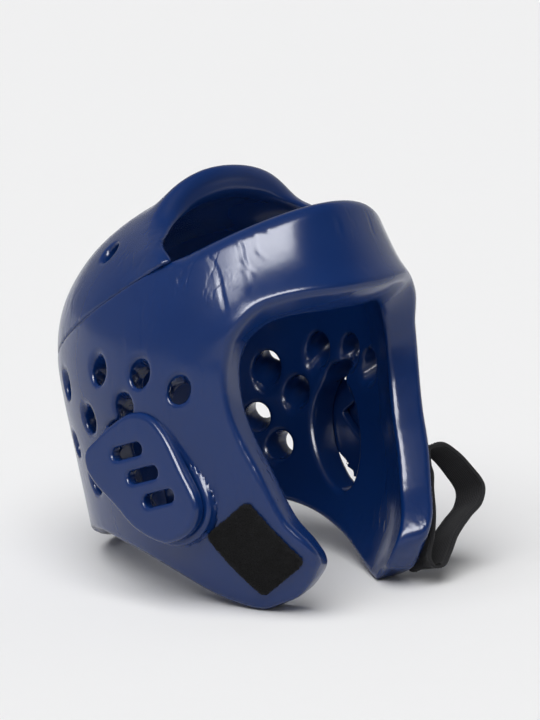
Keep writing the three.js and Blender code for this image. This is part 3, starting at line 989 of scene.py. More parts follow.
    def across_at(self, back: Array, up: Array) -> Array:
        """How far the outer face reaches across at a place.

        Args:
            back: Places back.
            up: Heights.

        Returns:
            The reach at each place.
        """
        d = back - self.centre_back
        reach = np.where(d < 0, self.profiles["front"].at(up), self.profiles["back"].at(up))
        return self.profiles["half"].at(up) * np.sqrt(np.maximum(1 - (d / reach) ** 2, 0.0))

    def front_point(self, across: float, up: float) -> Array:
        """Point of the outer face in front, from its places across and up."""
        half, front = self.profiles["half"].at(up), self.profiles["front"].at(up)
        return np.array([across, self.centre_back - front * math.sqrt(max(1 - (across / half) ** 2, 0)), up])

    def drill(self, vent: Vent) -> tuple[Vent, Array, Array]:
        """Mouth and direction of a vent of the wearer's left side.

        Args:
            vent: Vent to place.

        Returns:
            The vent, the middle of its mouth and its direction out.
        """
        back, up = vent.back * self.widest_up, vent.up * self.widest_up
        mouth = np.array([float(self.across_at(np.array(back), np.array(up))), back, up])
        out = mouth - np.array([0.0, 0.0, self.vent_focus_up])
        return vent, mouth, out / np.linalg.norm(out)

    def fold(self, crease: Crease) -> tuple[Array, Array]:
        """Samples along a crease: their places and their shares of its depth.

        Args:
            crease: Crease to place.

        Returns:
            The places and their shares.
        """
        t = np.linspace(0.0, 1.0, 9)
        ends = np.array([crease.start, crease.end])
        bow = 1.2 * np.sin(2 * math.pi * t)
        places = ends[0] + t[:, None] * (ends[1] - ends[0])
        points = np.array([self.front_point(a + b, u) for (a, u), b in zip(places, bow)])
        return points, np.clip(np.sin(math.pi * t), 0.15, None)

    def seam_up(self, back: Array) -> Array:
        """Height of the plane where the crown piece starts."""
        return self.seam_up_at_brow - self.seam_slope * (back - self.brow_back)

    def section_distance(self, p: Array, inset: float) -> Array:
        """Distance from the outer face, or from one set inward.

        Args:
            p: Places in the head's frame.
            inset: How far inside the outer face.

        Returns:
            The distances, minus inside.
        """
        x, v, w = p[:, 0], p[:, 1], p[:, 2]
        d = v - self.centre_back
        front, back = self.profiles["front"], self.profiles["back"]
        ahead = d < 0
        reach = np.where(ahead, front.at(w), back.at(w)) - inset
        slope = np.where(ahead, front.slope_at(w), back.slope_at(w))
        half = self.profiles["half"].at(w) - inset
        return oval(x, d, half, reach, self.profiles["half"].slope_at(w), slope)

    def outer(self, p: Array) -> Array:
        """Distance from the outer face."""
        return self.section_distance(p, 0.0)

    def face_cut(self, p: Array) -> Array:
        """Distance from the face opening, plus inside it, square to the wall with the brow's slant.

        Args:
            p: Places in the head's frame.

        Returns:
            The distances.
        """
        x, w = np.abs(p[:, 0]), p[:, 2]
        level = p[:, 1] - self.centre_back
        d = np.minimum(level, -0.5)
        half, reach = self.profiles["half"].at(w), self.profiles["front"].at(w)
        foot, ahead = x, d
        for _ in range(3):
            nx, nd = foot / half**2, ahead / reach**2
            size = np.hypot(nx, nd) + 1e-9
            nx, nd = nx / size, nd / size
            a = (nx / half) ** 2 + (nd / reach) ** 2
            b = 2 * (x * nx / half**2 + d * nd / reach**2)
            c = (x / half) ** 2 + (d / reach) ** 2 - 1
            away = (np.sqrt(np.maximum(b * b - 4 * a * c, 0.0)) - b) / (2 * a)
            foot, ahead = np.abs(x + nx * away), np.minimum(d + nd * away, -0.01)
        slant = np.interp(-w / self.brow_edge_up, self.slant_places, self.slant_shares)
        up = w + slant * self.brow_chamfer / self.wall * away
        face = self.stencils["face"]
        foot = foot + self.rim_taper * np.clip(away, 0.0, self.wall)
        flat = face.at(foot, up)
        step = 1.5
        ga = (face.at(foot + step, up) - face.at(foot - step, up)) / (2 * step)
        gb = (face.at(foot, up + step) - face.at(foot, up - step)) / (2 * step)
        scale = np.sqrt((ga * np.maximum(np.abs(nd), 0.3)) ** 2 + gb**2 + 0.02)
        return np.where(level < 0, -flat / np.minimum(scale, 1.0), -flat - level)

    def creased(self, p: Array) -> Array:
        """Depth of the coat's creases and of its slow unevenness at each place.

        Args:
            p: Places in the head's frame.

        Returns:
            How deep the coat lies at each place.
        """
        deep = np.zeros(len(p))
        for crease, places, shares in self.folds:
            low, high = places.min(0) - 6.0, places.max(0) + 6.0
            near = np.all((p > low) & (p < high), -1)
            if not near.any():
                continue
            q = p[near]
            best = np.full(len(q), np.inf)
            share = np.zeros(len(q))
            for a, b, sa, sb in zip(places, places[1:], shares, shares[1:]):
                t = np.clip(((q - a) @ (b - a)) / ((b - a) @ (b - a)), 0.0, 1.0)
                gap = ((q - a - t[:, None] * (b - a)) ** 2).sum(-1)
                closer = gap < best
                best = np.where(closer, gap, best)
                share = np.where(closer, sa + t * (sb - sa), share)
            away = np.sqrt(best) / crease.wide
            deep[near] += crease.deep * share * (1.0 - 0.9 * away**2) * np.exp(-(away**2))
        x, v, w = p[:, 0], p[:, 1], p[:, 2]
        slow = np.sin(x / 9.1 + 0.4 * np.sin(w / 13.0)) * np.sin(v / 10.3 + 1.1) * np.sin(w / 11.7 + 0.6)
        return deep + self.swell * slow

    def distance(self, p: Array) -> Array:
        """Distance from the whole side shell.

        Args:
            p: Places in the head's frame.

        Returns:
            The distances, minus inside.
        """
        x, v, w = p[:, 0], p[:, 1], p[:, 2]
        outer = self.outer(p)
        inner = self.section_distance(p, self.wall)
        ahead = smooth_step(-v, *self.band_ahead)
        top = (w - self.seam_up(v)) / math.hypot(1.0, self.seam_slope)
        rim = self.seam_round + (self.band_round - self.seam_round) * ahead
        brow = smooth_step(w, *self.brow_heights)
        cut = self.face_cut(p)
        skin = outer + self.creased(p) - self.brow_flare * brow * np.exp(-((cut / self.flare_fade) ** 2))
        body = rounded_and(skin, top, rim)
        inner_rim = self.inner_round + (self.inner_round_at_band - self.inner_round) * ahead
        body = rounded_and(body, -inner, inner_rim)
        between = smooth_step(v, *self.jaw_front) * (1.0 - smooth_step(v, *self.jaw_back))
        under = self.stencils["jaw"].at(v, w + self.jaw_drop * between)
        body = rounded_and(body, -under, self.jaw_round)
        body = rounded_and(body, cut, self.edge_round)
        body = rounded_and(body, -self.stencils["ear"].at(v, w), self.ear_round)
        for vent, mouth, out in self.drills:
            body = bored(body, p, vent, mouth, out, self.wall)
        return body

    def built(self, net: Net) -> bpy.types.Object:
        """Mesh of the side shell."""
        points, quads = net.drawn(self.distance, self.box_low, self.box_high)
        return mesh_piece("shell_padding", points, quads)


@dataclass
class CrownPiece:
    """Dome that closes the top at the back, with its raised lip."""

    shell: SideShell
    half_width: float = 95.0
    front_reach: float = 116.0
    back_reach: float = 116.0
    base_up: float = 136.0
    rise: float = 84.0
    power: float = 1.9
    wall: float = 18.0
    leg_wall: float = 7.0
    leg_fade: float = 16.0
    leg_low_up: float = 186.0
    leg_high_up: float = 206.0
    lip_rise: float = 2.0
    lip_rise_at_apex: float = 11.5
    lip_rise_at_foot: float = 3.5
    foot_low_up: float = 178.0
    foot_high_up: float = 198.0
    lip_turn: float = 0.78
    lip_fade: float = 20.0
    lip_thicker: float = 3.0
    thicker_heights: tuple[float, float] = (194.0, 212.0)
    # outer and inner rounding of the lip at its legs and at its top, and the heights between
    lip_round: tuple[float, float] = (3.0, 9.0)
    lip_inner_round: tuple[float, float] = (2.5, 6.0)
    leg_heights: tuple[float, float] = (182.0, 208.0)
    # how far the lip's stencil runs on past the lip
    ahead_of_lip: float = 300.0
    below_lip: float = 60.0
    lip_back: float = -63.0
    box_low: tuple[float, float, float] = (-101.0, -108.0, 130.0)
    box_high: tuple[float, float, float] = (101.0, 86.0, 242.0)
    sunk: float = 0.6
    seam_round: float = 1.6
    vent_mouth: tuple[float, float, float] = (69.0, -30.0, 192.0)
    vent: Vent = Vent(0.0, 0.0, reach=45.0, inner_flare=0.0)
    # back in walls from the lip's plane, up as a share of the rise
    lip: tuple[tuple[float, float], ...] = (
        (-1.75, 0.22),
        (-1.35, 0.47),
        (-0.8, 0.6),
        (-0.35, 0.72),
        (-0.2, 0.81),
        (-0.22, 0.9),
        (-0.3, 0.99),
        (-0.45, 1.09),
        (-0.7, 1.28),
    )

    def __post_init__(self) -> None:
        """Works out the lip's profile."""
        rows = np.array(self.lip)
        back = self.lip_back + self.shell.wall * rows[:, 0]
        up = self.base_up + self.rise * rows[:, 1]
        self.lip_line = Profile(up, back)
        line = smooth_line(np.stack([back, up], -1), per=5)
        low = line[0][1] - self.below_lip
        far = self.ahead_of_lip
        ends = [[line[-1][0], far], [-far, far], [-far, low], [line[0][0], low]]
        self.lip_stencil = Stencil(np.vstack([line, ends]))

    def dome(self, p: Array, inset: float | Array) -> Array:
        """Distance from the dome, or from one set inward.

        Args:
            p: Places in the head's frame.
            inset: How far inside the outer face.

        Returns:
            The distances, minus inside.
        """
        x, v, w = p[:, 0], p[:, 1], p[:, 2]
        d = v - self.shell.centre_back
        half = self.half_width - inset
        reach = np.where(d < 0, self.front_reach, self.back_reach) - inset
        rise = self.rise - inset
        share = np.maximum(w - self.base_up, 0.0) / rise
        r = np.sqrt((x / half) ** 2 + (d / reach) ** 2) + 1e-6
        steep = np.sqrt((x / half**2) ** 2 + (d / reach**2) ** 2) / r
        value = r**self.power + share**2 - 1.0
        slope = np.hypot(self.power * r ** (self.power - 1) * steep, 2 * share / rise)
        return value / (slope + 1e-9)

    def lifted(self, p: Array, rise: float) -> Array:
        """How far the lip stands proud of the dome, most at its apex.

        Args:
            p: Places in the head's frame.
            rise: Rise of the dome at that layer.

        Returns:
            How far it stands proud at each place.
        """
        share = np.maximum(p[:, 2] - self.base_up, 0.0) / rise
        upright = share / (np.hypot(p[:, 0] / self.half_width, share) + 1e-6)
        foot = 1.0 - smooth_step(p[:, 2], self.foot_low_up, self.foot_high_up)
        top = smooth_step(upright, self.lip_turn, 1.0)
        return self.lip_rise + (self.lip_rise_at_apex - self.lip_rise) * top + self.lip_rise_at_foot * foot

    def distance(self, p: Array) -> Array:
        """Distance from the whole crown piece.

        Args:
            p: Places in the head's frame.

        Returns:
            The distances, minus inside.
        """
        v, w = p[:, 1], p[:, 2]
        behind = np.maximum(v - self.lip_line.at(w), 0.0)
        fade = np.exp(-((behind / self.lip_fade) ** 2))
        outer = self.dome(p, 0.0) - self.lifted(p, self.rise) * fade + self.shell.creased(p)
        low = 1.0 - smooth_step(w, self.leg_low_up, self.leg_high_up)
        thin = (self.wall - self.leg_wall) * low * np.exp(-((behind / self.leg_fade) ** 2))
        thick = self.lip_thicker * smooth_step(w, *self.thicker_heights)
        inner = self.dome(p, self.wall) - (self.lifted(p, self.rise - self.wall) - thick) * fade - thin
        base = (self.shell.seam_up(v) - self.sunk - w) / math.hypot(1.0, self.shell.seam_slope)
        front = -self.lip_stencil.at(v, w)
        leg = smooth_step(w, *self.leg_heights)
        body = rounded_and(outer, front, self.lip_round[0] + (self.lip_round[1] - self.lip_round[0]) * leg)
        low, high = self.lip_inner_round
        body = rounded_and(body, -inner, low + (high - low) * leg)
        body = rounded_and(body, base, self.seam_round)
        mouth = np.array(self.vent_mouth)
        out = mouth - (0.0, self.shell.centre_back, self.base_up)
        return bored(body, p, self.vent, mouth, out / np.linalg.norm(out), self.wall)

    def built(self, net: Net) -> bpy.types.Object:
        """Mesh of the crown piece."""
        points, quads = net.drawn(self.distance, self.box_low, self.box_high)
        return mesh_piece("crown_padding", points, quads)


@dataclass
class EarPod:
    """Two-tier foam pod over one ear: a lower ring on the shell and a slotted slab."""

    shell: SideShell
    side: Side
    turn_deg: float = 10.0
    across: float = 99.5
    back: float = -40.0
    up: float = 60.0
    length: float = 76.0
    width: float = 75.0
    ledge: float = 3.0
    wall: float = 13.0
    slab: float = 8.5
    gap: float = 0.3
    face_round: float = 3.0
    foot_round: float = 1.6
    face_rise: float = 0.5
    slot_round: float = 2.0
    box_low: tuple[float, float, float] = (70.0, -92.0, 10.0)
    box_high: tuple[float, float, float] = (114.0, 8.0, 108.0)
    ledge_round: float = 2.2
    fillet_radius: float = 3.0
    fillet_share: float = 0.8
    slot_length: float = 22.5
    slot_height: float = 7.5
    slot_pitch: float = 15.0
    slot_step: float = 7.6
    slot_first: tuple[float, float] = (-1.7, 17.6)
    # along and up in the pod's plane
    outline: tuple[tuple[float, float], ...] = (
        (0.405, 0.307),
        (0.27, 0.38),
        (0.08, 0.455),
        (-0.11, 0.5),
        (-0.25, 0.475),
        (-0.345, 0.405),
        (-0.42, 0.27),
        (-0.5, 0.0),
        (-0.562, -0.22),
        (-0.55, -0.33),
        (-0.49, -0.415),
        (-0.4, -0.47),
        (-0.28, -0.5),
        (-0.15, -0.49),
        (0.083, -0.34),
        (0.24, -0.125),
        (0.385, 0.07),
        (0.43, 0.195),
    )

    def __post_init__(self) -> None:
        """Works out the outline."""
        line = smooth_line(np.array(self.outline) * (self.width, self.length), closed=True, per=5)
        self.stencil = Stencil(line, 40.0, 0.6)

    def local(self, p: Array) -> tuple[Array, Array, Array]:
        """Places along, up and off the pod's plane.

        Args:
            p: Places in the head's frame.

        Returns:
            The three places.
        """
        c, s = math.cos(math.radians(self.turn_deg)), math.sin(math.radians(self.turn_deg))
        x = self.side.value * p[:, 0] - self.across
        v = p[:, 1] - self.back
        return x * s + v * c, p[:, 2] - self.up, x * c - v * s

    def slab_distance(self, p: Array) -> Array:
        """Distance from the slotted slab.

        Args:
            p: Places in the head's frame.

        Returns:
            The distances, minus inside.
        """
        along, up, off = self.local(p)
        flat = self.stencil.at(along, up)
        dip = self.face_rise * np.exp(-((flat + 2.0) / 7.0) ** 2)
        body = rounded_and(flat, off - self.gap + dip, self.face_round)
        body = rounded_and(body, self.gap - self.slab - off, self.foot_round)
        half = (self.slot_length - self.slot_height) / 2
        for k in range(3):
            a = along - (self.slot_first[0] - k * self.slot_step)
            b = up - (self.slot_first[1] - k * self.slot_pitch)
            hole = np.hypot(np.maximum(np.abs(a) - half, 0.0), b) - self.slot_height / 2
            body = rounded_and(body, -hole, self.slot_round)
        return body

    def ring_distance(self, p: Array) -> Array:
        """Distance from the lower ring, which runs out on the shell in a fillet.

        Args:
            p: Places in the head's frame.

        Returns:
            The distances, minus inside.
        """
        along, up, off = self.local(p)
        high = self.shell.outer(p)
        flat = self.stencil.at(along, up)
        foot = self.fillet_share * fillet(high, self.fillet_radius)
        body = rounded_and(flat - self.ledge - foot, off + self.slab, self.ledge_round)
        body = np.maximum(body, -self.wall - flat)
        return np.maximum(body, -0.5 - high)

    def built(self, net: Net) -> tuple[bpy.types.Object, bpy.types.Object]:
        """Meshes of the ring and the slab.

        Args:
            net: Net that draws the meshes.

        Returns:
            The ring and the slab.
        """
        low, high = np.array(self.box_low), np.array(self.box_high)
        if self.side is Side.RIGHT:
            low[0], high[0] = -high[0], -low[0]
        ring = net.drawn(self.ring_distance, low, high)
        slab = net.drawn(self.slab_distance, low, high)
        return (
            mesh_piece(f"ear_ring_{self.side.word}_foam", *ring),
            mesh_piece(f"ear_plate_{self.side.word}_foam", *slab),
        )


# Cloth pieces


class Grower(Nodes):
    """Geometry nodes that repeat a small shape over a surface or along a line."""

    def __init__(self, name: str, sizes: dict[str, float]) -> None:
        """Makes an empty tree with named sizes.

        Args:
            name: Name of the tree.
            sizes: Named inputs with their values.
        """
        super().__init__(bpy.data.node_groups.new(name, "GeometryNodeTree"))
        face = self.tree.interface
        face.new_socket("Geometry", in_out="INPUT", socket_type="NodeSocketGeometry")
        for key in sizes:
            face.new_socket(key, in_out="INPUT", socket_type="NodeSocketFloat")
        face.new_socket("Geometry", in_out="OUTPUT", socket_type="NodeSocketGeometry")
        self.start = self.tree.nodes.new("NodeGroupInput")
        self.end = self.tree.nodes.new("NodeGroupOutput")
        self.sizes = sizes

    def finish(self, instances: bpy.types.NodeSocket, material: bpy.types.Material) -> None:
        """Ends the tree in real geometry with its material.

        Args:
            instances: Socket that gives the instances.
            material: Material of the result.
        """
        real = self.node("GeometryNodeRealizeInstances", {}, {0: instances})
        sockets = {"Geometry": real.outputs[0], "Material": material}
        painted = self.node("GeometryNodeSetMaterial", {}, sockets)
        self.tree.links.new(painted.outputs[0], self.end.inputs[0])

    def grown(self, piece: bpy.types.Object, name: str) -> bpy.types.Object:
        """Runs the tree on a piece and keeps the result as a plain mesh.

        Args:
            piece: Piece that the tree grows on.
            name: Name of the new piece.

        Returns:
            The new piece.
        """
        modifier = piece.modifiers.new("grow", "NODES")
        modifier.node_group = self.tree
        for item in self.tree.interface.items_tree:
            if item.in_out == "INPUT" and item.name in self.sizes:
                modifier[item.identifier] = self.sizes[item.name]
        bpy.context.view_layer.update()
        graph = bpy.context.evaluated_depsgraph_get()
        mesh = bpy.data.meshes.new_from_object(piece.evaluated_get(graph))
        piece.modifiers.remove(modifier)
        mesh.name = name
        grown = bpy.data.objects.new(name, mesh)
        bpy.context.scene.collection.objects.link(grown)
        return grown


def half_ring(name: str, radius: float, thick: float, steps: int = 5, sides: int = 4) -> bpy.types.Object:
    """Small standing loop of thread.

    Args:
        name: Name of the shape.
        radius: Radius of the loop.
        thick: Thickness of the thread.
        steps: Stretches round the loop.
        sides: Sides of the thread.

    Returns:
        The shape, which isn't linked to the scene.
    """
    points, faces = [], []
    for i in range(steps + 1):
        turn = math.pi * (i / steps * 1.2 - 0.1)
        middle = Vector((radius * math.cos(turn), 0.0, radius * math.sin(turn)))
        out = middle.normalized()
        for j in range(sides):
            a = 2 * math.pi * j / sides
            points.append(middle + thick / 2 * (math.cos(a) * out + math.sin(a) * Vector((0, 1, 0))))
    for i in range(steps):
        for j in range(sides):
            k = (j + 1) % sides
            faces.append((i * sides + j, i * sides + k, (i + 1) * sides + k, (i + 1) * sides + j))
    mesh = bpy.data.meshes.new(name)
    mesh.from_pydata([tuple(p) for p in points], [], faces)
    mesh.polygons.foreach_set("use_smooth", [True] * len(mesh.polygons))
    mesh.update()
    return bpy.data.objects.new(name, mesh)


@dataclass
class LoopPatch:
    """Patch of loop pile that follows the right cheek."""

    shell: SideShell
    length: float = 47.0
    width: float = 36.0
    thick: float = 2.4
    corner: float = 4.0
    back: float = -91.5
    up: float = 7.0
    turn_deg: float = 24.0
    gap: float = 0.3
    loop_radius: float = 0.55
    loop_thread: float = 0.2
    loops_per_mm2: float = 2.2
    pile_facing: float = -0.3
    pad_drop: float = 0.5
    pad_round: float = 1.0
    lump: float = 0.22
    ragged: float = 0.105
    reach: float = 34.0
    probe: float = 2.0

    def __post_init__(self) -> None:
        """Works out the patch's own directions."""
        across = float(self.shell.across_at(np.array(self.back), np.array(self.up)))
        self.centre = np.array([-across, self.back, self.up])
        steps = self.probe * np.eye(3)
        off = self.shell.outer(self.centre + steps) - self.shell.outer(self.centre - steps)
        off /= np.linalg.norm(off)
        level = np.cross([0.0, 0.0, 1.0], off)
        level /= np.linalg.norm(level)
        steep = np.cross(off, level)
        turn = math.radians(self.turn_deg)
        c, s = math.cos(turn), math.sin(turn)
        self.wide = c * level + s * steep
        self.long = c * steep - s * level
        self.out = HEAD.turn @ off

    def distance(self, p: Array) -> Array:
        """Distance from the patch.

        Args:
            p: Places in the head's frame.

        Returns:
            The distances, minus inside.
        """
        q = p - self.centre
        a = np.abs(q @ self.wide) - self.width / 2 + self.corner
        b = np.abs(q @ self.long) - self.length / 2 + self.corner
        beside = np.hypot(np.maximum(a, 0.0), np.maximum(b, 0.0))
        flat = beside + np.minimum(np.maximum(a, b), 0.0) - self.corner
        high = self.shell.outer(p)
        x, v, w = p[:, 0], p[:, 1], p[:, 2]
        lumps = np.sin(x * 1.9 + 2.0 * np.sin(w * 0.7)) * np.sin(v * 1.7 + 1.3) * np.sin(w * 2.1 + 0.5)
        edge = self.ragged * np.sin(1.3 * (v + w) + 1.7 * np.sin(0.9 * v))
        top = high - self.thick + self.pad_drop + self.lump * lumps
        body = rounded_and(flat + edge, top, self.pad_round)
        return np.maximum(body, self.gap - high)

    def pile(self, piece: bpy.types.Object, finish: bpy.types.Material) -> bpy.types.Object:
        """Fine loops that stand all over the patch.

        Args:
            piece: Pad that the loops stand on.
            finish: Material of what is grown.

        Returns:
            The loops as one piece.
        """
        grower = Grower("loop pile", {"Density": self.loops_per_mm2 / MM**2})
        shape = half_ring("pile_loop", self.loop_radius * MM, self.loop_thread * MM)
        info = grower.node("GeometryNodeObjectInfo", {}, {"Object": shape})
        facing = grower.node(
            "ShaderNodeVectorMath",
            {"operation": "DOT_PRODUCT"},
            {0: grower.node("GeometryNodeInputNormal").outputs[0], 1: tuple(self.out)},
        )
        shown = grower.node(
            "ShaderNodeMath", {"operation": "GREATER_THAN"}, {0: facing.outputs["Value"], 1: self.pile_facing}
        )
        spread = grower.node(
            "GeometryNodeDistributePointsOnFaces",
            {"distribute_method": "RANDOM"},
            {
                "Mesh": grower.start.outputs["Geometry"],
                "Selection": shown.outputs[0],
                "Density": grower.start.outputs["Density"],
                "Seed": 7,
            },
        )
        spin = grower.node(
            "FunctionNodeRandomValue",
            {"data_type": "FLOAT_VECTOR"},
            {0: (-0.5, -0.5, 0.0), 1: (0.5, 0.5, 2 * math.pi), "Seed": 3},
        )
        turned = grower.node(
            "FunctionNodeRotateEuler",
            {"rotation_type": "EULER", "space": "LOCAL"},
            {"Rotation": spread.outputs["Rotation"], "Rotate By": spin.outputs[0]},
        )
        size = grower.node("FunctionNodeRandomValue", {"data_type": "FLOAT"}, {2: 0.6, 3: 1.25, "Seed": 5})
        placed = grower.node(
            "GeometryNodeInstanceOnPoints",
            {},
            {
                "Points": spread.outputs["Points"],
                "Instance": info.outputs["Geometry"],
                "Rotation": turned.outputs[0],
                "Scale": size.outputs[1],
            },
        )
        grower.finish(placed.outputs[0], finish)
        return grower.grown(piece, "loop_patch_pile")

    def built(self, net: Net) -> bpy.types.Object:
        """Mesh of the patch."""
        points, quads = net.drawn(self.distance, self.centre - self.reach, self.centre + self.reach)
        return mesh_piece("loop_patch_pad", points, quads)


@dataclass
class ChinStrap:
    """Whole loop of elastic whose hidden stretch lies along the left cheek."""

    shell: SideShell
    width: float = 24.0
    thick: float = 2.2
    clear: float = 0.9
    front_back: float = -106.0
    stand: float = 42.0
    gap: float = 0.3
    hem: float = 2.6
    hem_rise: float = 0.35
    hem_edge: float = 0.8
    curl: float = 0.45
    steps: int = 240
    lanes: int = 24
    # hidden stretch: its stations, how far its ends lie in from the rows, its clearance from the cheek,
    # how far its foot and its whole length stand off, and its width at the foot and the top
    hidden: int = 5
    hidden_ends: tuple[float, float] = (6.0, 7.0)
    hidden_clear: float = 1.0
    foot_out: float = 4.4
    hidden_out: tuple[float, float] = (0.6, -0.3)
    hidden_wide: tuple[float, float] = (1.1, 0.75)
    stitch: float = 2.4
    # across and up as shares of the stand-off, width as a share of the strap's
    rows: tuple[tuple[float, float, float], ...] = (
        (0.1, 0.86, 0.75),
        (0.27, 0.98, 0.8),
        (0.5, 1.0, 0.9),
        (0.72, 0.84, 0.95),
        (0.92, 0.58, 1.0),
        (1.06, 0.3, 1.05),
        (0.95, 0.09, 1.05),
        (0.67, -0.07, 1.0),
        (0.36, -0.27, 1.0),
        (0.13, -0.49, 1.05),
        (-0.06, -0.63, 1.1),
        (-0.16, -0.6, 1.1),
    )

    def normal(self, point: Array) -> Array:
        """Level direction out of the cheek at a place of it.

        Args:
            point: Place on the cheek.

        Returns:
            The direction.
        """
        half, front = self.shell.profiles["half"].at(point[2]), self.shell.profiles["front"].at(point[2])
        n = np.array([point[0] / half**2, (point[1] - self.shell.centre_back) / front**2, 0.0])
        return n / np.linalg.norm(n)

    def stations(self) -> tuple[Array, Array, Array]:
        """Middles, width directions and widths along the loop.

        Returns:
            The three lists, one row for each station.
        """
        mid = self.front_back + self.width / 2
        foot = float(self.shell.across_at(np.array(mid), np.array(0.0)))
        middles = [np.array([foot + self.stand * a, mid, self.stand * u]) for a, u, _ in self.rows]
        ways = [np.array([0.0, 1.0, 0.0])] * len(self.rows)
        wides = [w for _, _, w in self.rows]
        low = self.rows[-1][1] * self.stand + self.hidden_ends[0]
        high = self.rows[0][1] * self.stand - self.hidden_ends[1]
        for share in np.linspace(0.0, 1.0, self.hidden):
            up = low + (high - low) * share
            ends = []
            for back in (mid - self.width / 2, mid + self.width / 2):
                p = np.array([float(self.shell.across_at(np.array(back), np.array(up))), back, up])
                ends.append(p + self.normal(p) * (self.gap + self.thick / 2 + self.hidden_clear))
            out = self.hidden_out[0] + self.foot_out * (1 - share) ** 2
            middles.append((ends[0] + ends[1]) / 2 + (out, self.hidden_out[1], 0.0))
            ways.append((ends[1] - ends[0]) / np.linalg.norm(ends[1] - ends[0]))
            wides.append(self.hidden_wide[0] + (self.hidden_wide[1] - self.hidden_wide[0]) * share)
        return np.array(middles), np.array(ways), np.array(wides)

    def lane(self, share: float, lift: float) -> Array:
        """Points round the loop at a share of its width and a lift off its middle layer.

        Args:
            share: Place across the strap, from -1 to 1.
            lift: How far off the strap's middle layer.

        Returns:
            The points of one lane.
        """
        middles, ways, wides = self.stations()
        per = self.steps // len(middles)
        path = smooth_line(middles, closed=True, per=per)
        way = smooth_line(ways, closed=True, per=per)
        wide = smooth_line(wides[:, None], closed=True, per=per)[:, 0]
        along = np.roll(path, -1, 0) - np.roll(path, 1, 0)
        along /= np.linalg.norm(along, axis=1)[:, None]
        off = np.cross(along, way)
        off /= np.linalg.norm(off, axis=1)[:, None]
        side = np.cross(off, along)
        curl = self.curl * math.sin(math.pi * share) * np.sin(np.arange(len(path)) / len(path) * 6 * math.pi)
        q = path + side * (share * self.width / 2 * wide)[:, None] + off * (lift + curl)[:, None]
        for i, point in enumerate(q):
            reach = float(self.shell.across_at(point[1:2], point[2:3])[0])
            n = self.normal(np.array([reach, point[1], point[2]]))
            away = self.clear + self.thick / 2 + math.copysign(lift, lift * off[i, 0])
            point[0] = max(point[0], reach + away / n[0])
        return q

    def built(self) -> bpy.types.Object:
        """Mesh of the strap, with its own map of lengths.

        Returns:
            The strap.
        """
        shares = np.linspace(-1.0, 1.0, self.lanes + 1)
        half = self.thick / 2
        lanes, marks = [], []
        for face in (1, -1):
            for share in shares[:: face]:
                edge = (1 - abs(share)) * self.width / 2
                into_hem = np.array(self.hem + self.hem_edge - edge)
                rise = self.hem_rise * float(smooth_step(into_hem, 0.0, self.hem_edge))
                round_off = math.sqrt(max(1 - max(1 - edge / half, 0) ** 2, 0.0))
                lanes.append(self.lane(share, face * (half * 0.78 + rise) * max(round_off, 0.25)))
                marks.append(share * self.width / 2)
        points = np.array(lanes)
        count, steps = points.shape[0], points.shape[1]
        length = np.concatenate([[0.0], np.cumsum(np.linalg.norm(np.diff(points[0], axis=0), axis=1))])
        faces, uv = [], []
        for c in range(count):
            d = (c + 1) % count
            for i in range(steps):
                j = (i + 1) % steps
                faces.append((c * steps + i, c * steps + j, d * steps + j, d * steps + i))
                end = length[j] if j else length[i] + 1.0
                uv += [(length[i], marks[c]), (end, marks[c]), (end, marks[d]), (length[i], marks[d])]
        piece = mesh_piece("chin_strap_elastic", points.reshape(-1, 3), np.array(faces))
        layer = piece.data.uv_layers.new(name="weave")
        layer.data.foreach_set("uv", (np.array(uv) * MM).ravel())
        self.outward(piece)
        return piece

    @staticmethod
    def outward(piece: bpy.types.Object) -> None:
        """Turns every face of a closed piece out.

        Args:
            piece: Closed piece to turn.
        """
        mesh = piece.data
        volume = sum(
            mesh.vertices[p.vertices[0]].co.dot(
                (mesh.vertices[p.vertices[1]].co - mesh.vertices[p.vertices[0]].co).cross(
                    mesh.vertices[p.vertices[2]].co - mesh.vertices[p.vertices[0]].co
                )
            )
            for p in mesh.polygons
        )
        if volume < 0:
            mesh.flip_normals()

    def thread(self, share: float, finish: bpy.types.Material, name: str) -> bpy.types.Object:
        """Row of stitches along the strap at a share of its width.

        Args:
            share: Place across the strap, from -1 to 1.
            finish: Material of what is grown.
            name: Name of the piece.

        Returns:
            The stitches as one piece.
        """
        line = self.lane(share, self.thick / 2 + 0.15)
        mesh = bpy.data.meshes.new("stitch_line")
        count = len(line)
        mesh.from_pydata(HEAD.place(line).tolist(), [(i, (i + 1) % count) for i in range(count)], [])
        guide = bpy.data.objects.new("stitch_line", mesh)
        bpy.context.scene.collection.objects.link(guide)
        grower = Grower("stitches", {"Pitch": self.stitch * MM})
        curve = grower.node("GeometryNodeMeshToCurve", {}, {0: grower.start.outputs["Geometry"]})
        spread = grower.node(
            "GeometryNodeCurveToPoints",
            {"mode": "LENGTH"},
            {"Curve": curve.outputs[0], "Length": grower.start.outputs["Pitch"]},
        )
        shape = grower.node("GeometryNodeMeshUVSphere", {}, {"Segments": 6, "Rings": 5, "Radius": 0.28 * MM})
        along = grower.node(
            "FunctionNodeAlignEulerToVector", {"axis": "X"}, {"Vector": spread.outputs["Tangent"]}
        )
        placed = grower.node(
            "GeometryNodeInstanceOnPoints",
            {},
            {
                "Points": spread.outputs["Points"],
                "Instance": shape.outputs["Mesh"],
                "Rotation": along.outputs[0],
                "Scale": (3.0, 1.0, 1.0),
            },
        )
        grower.finish(placed.outputs[0], finish)
        stitches = grower.grown(guide, name)
        bpy.data.objects.remove(guide)
        return stitches


# Studio


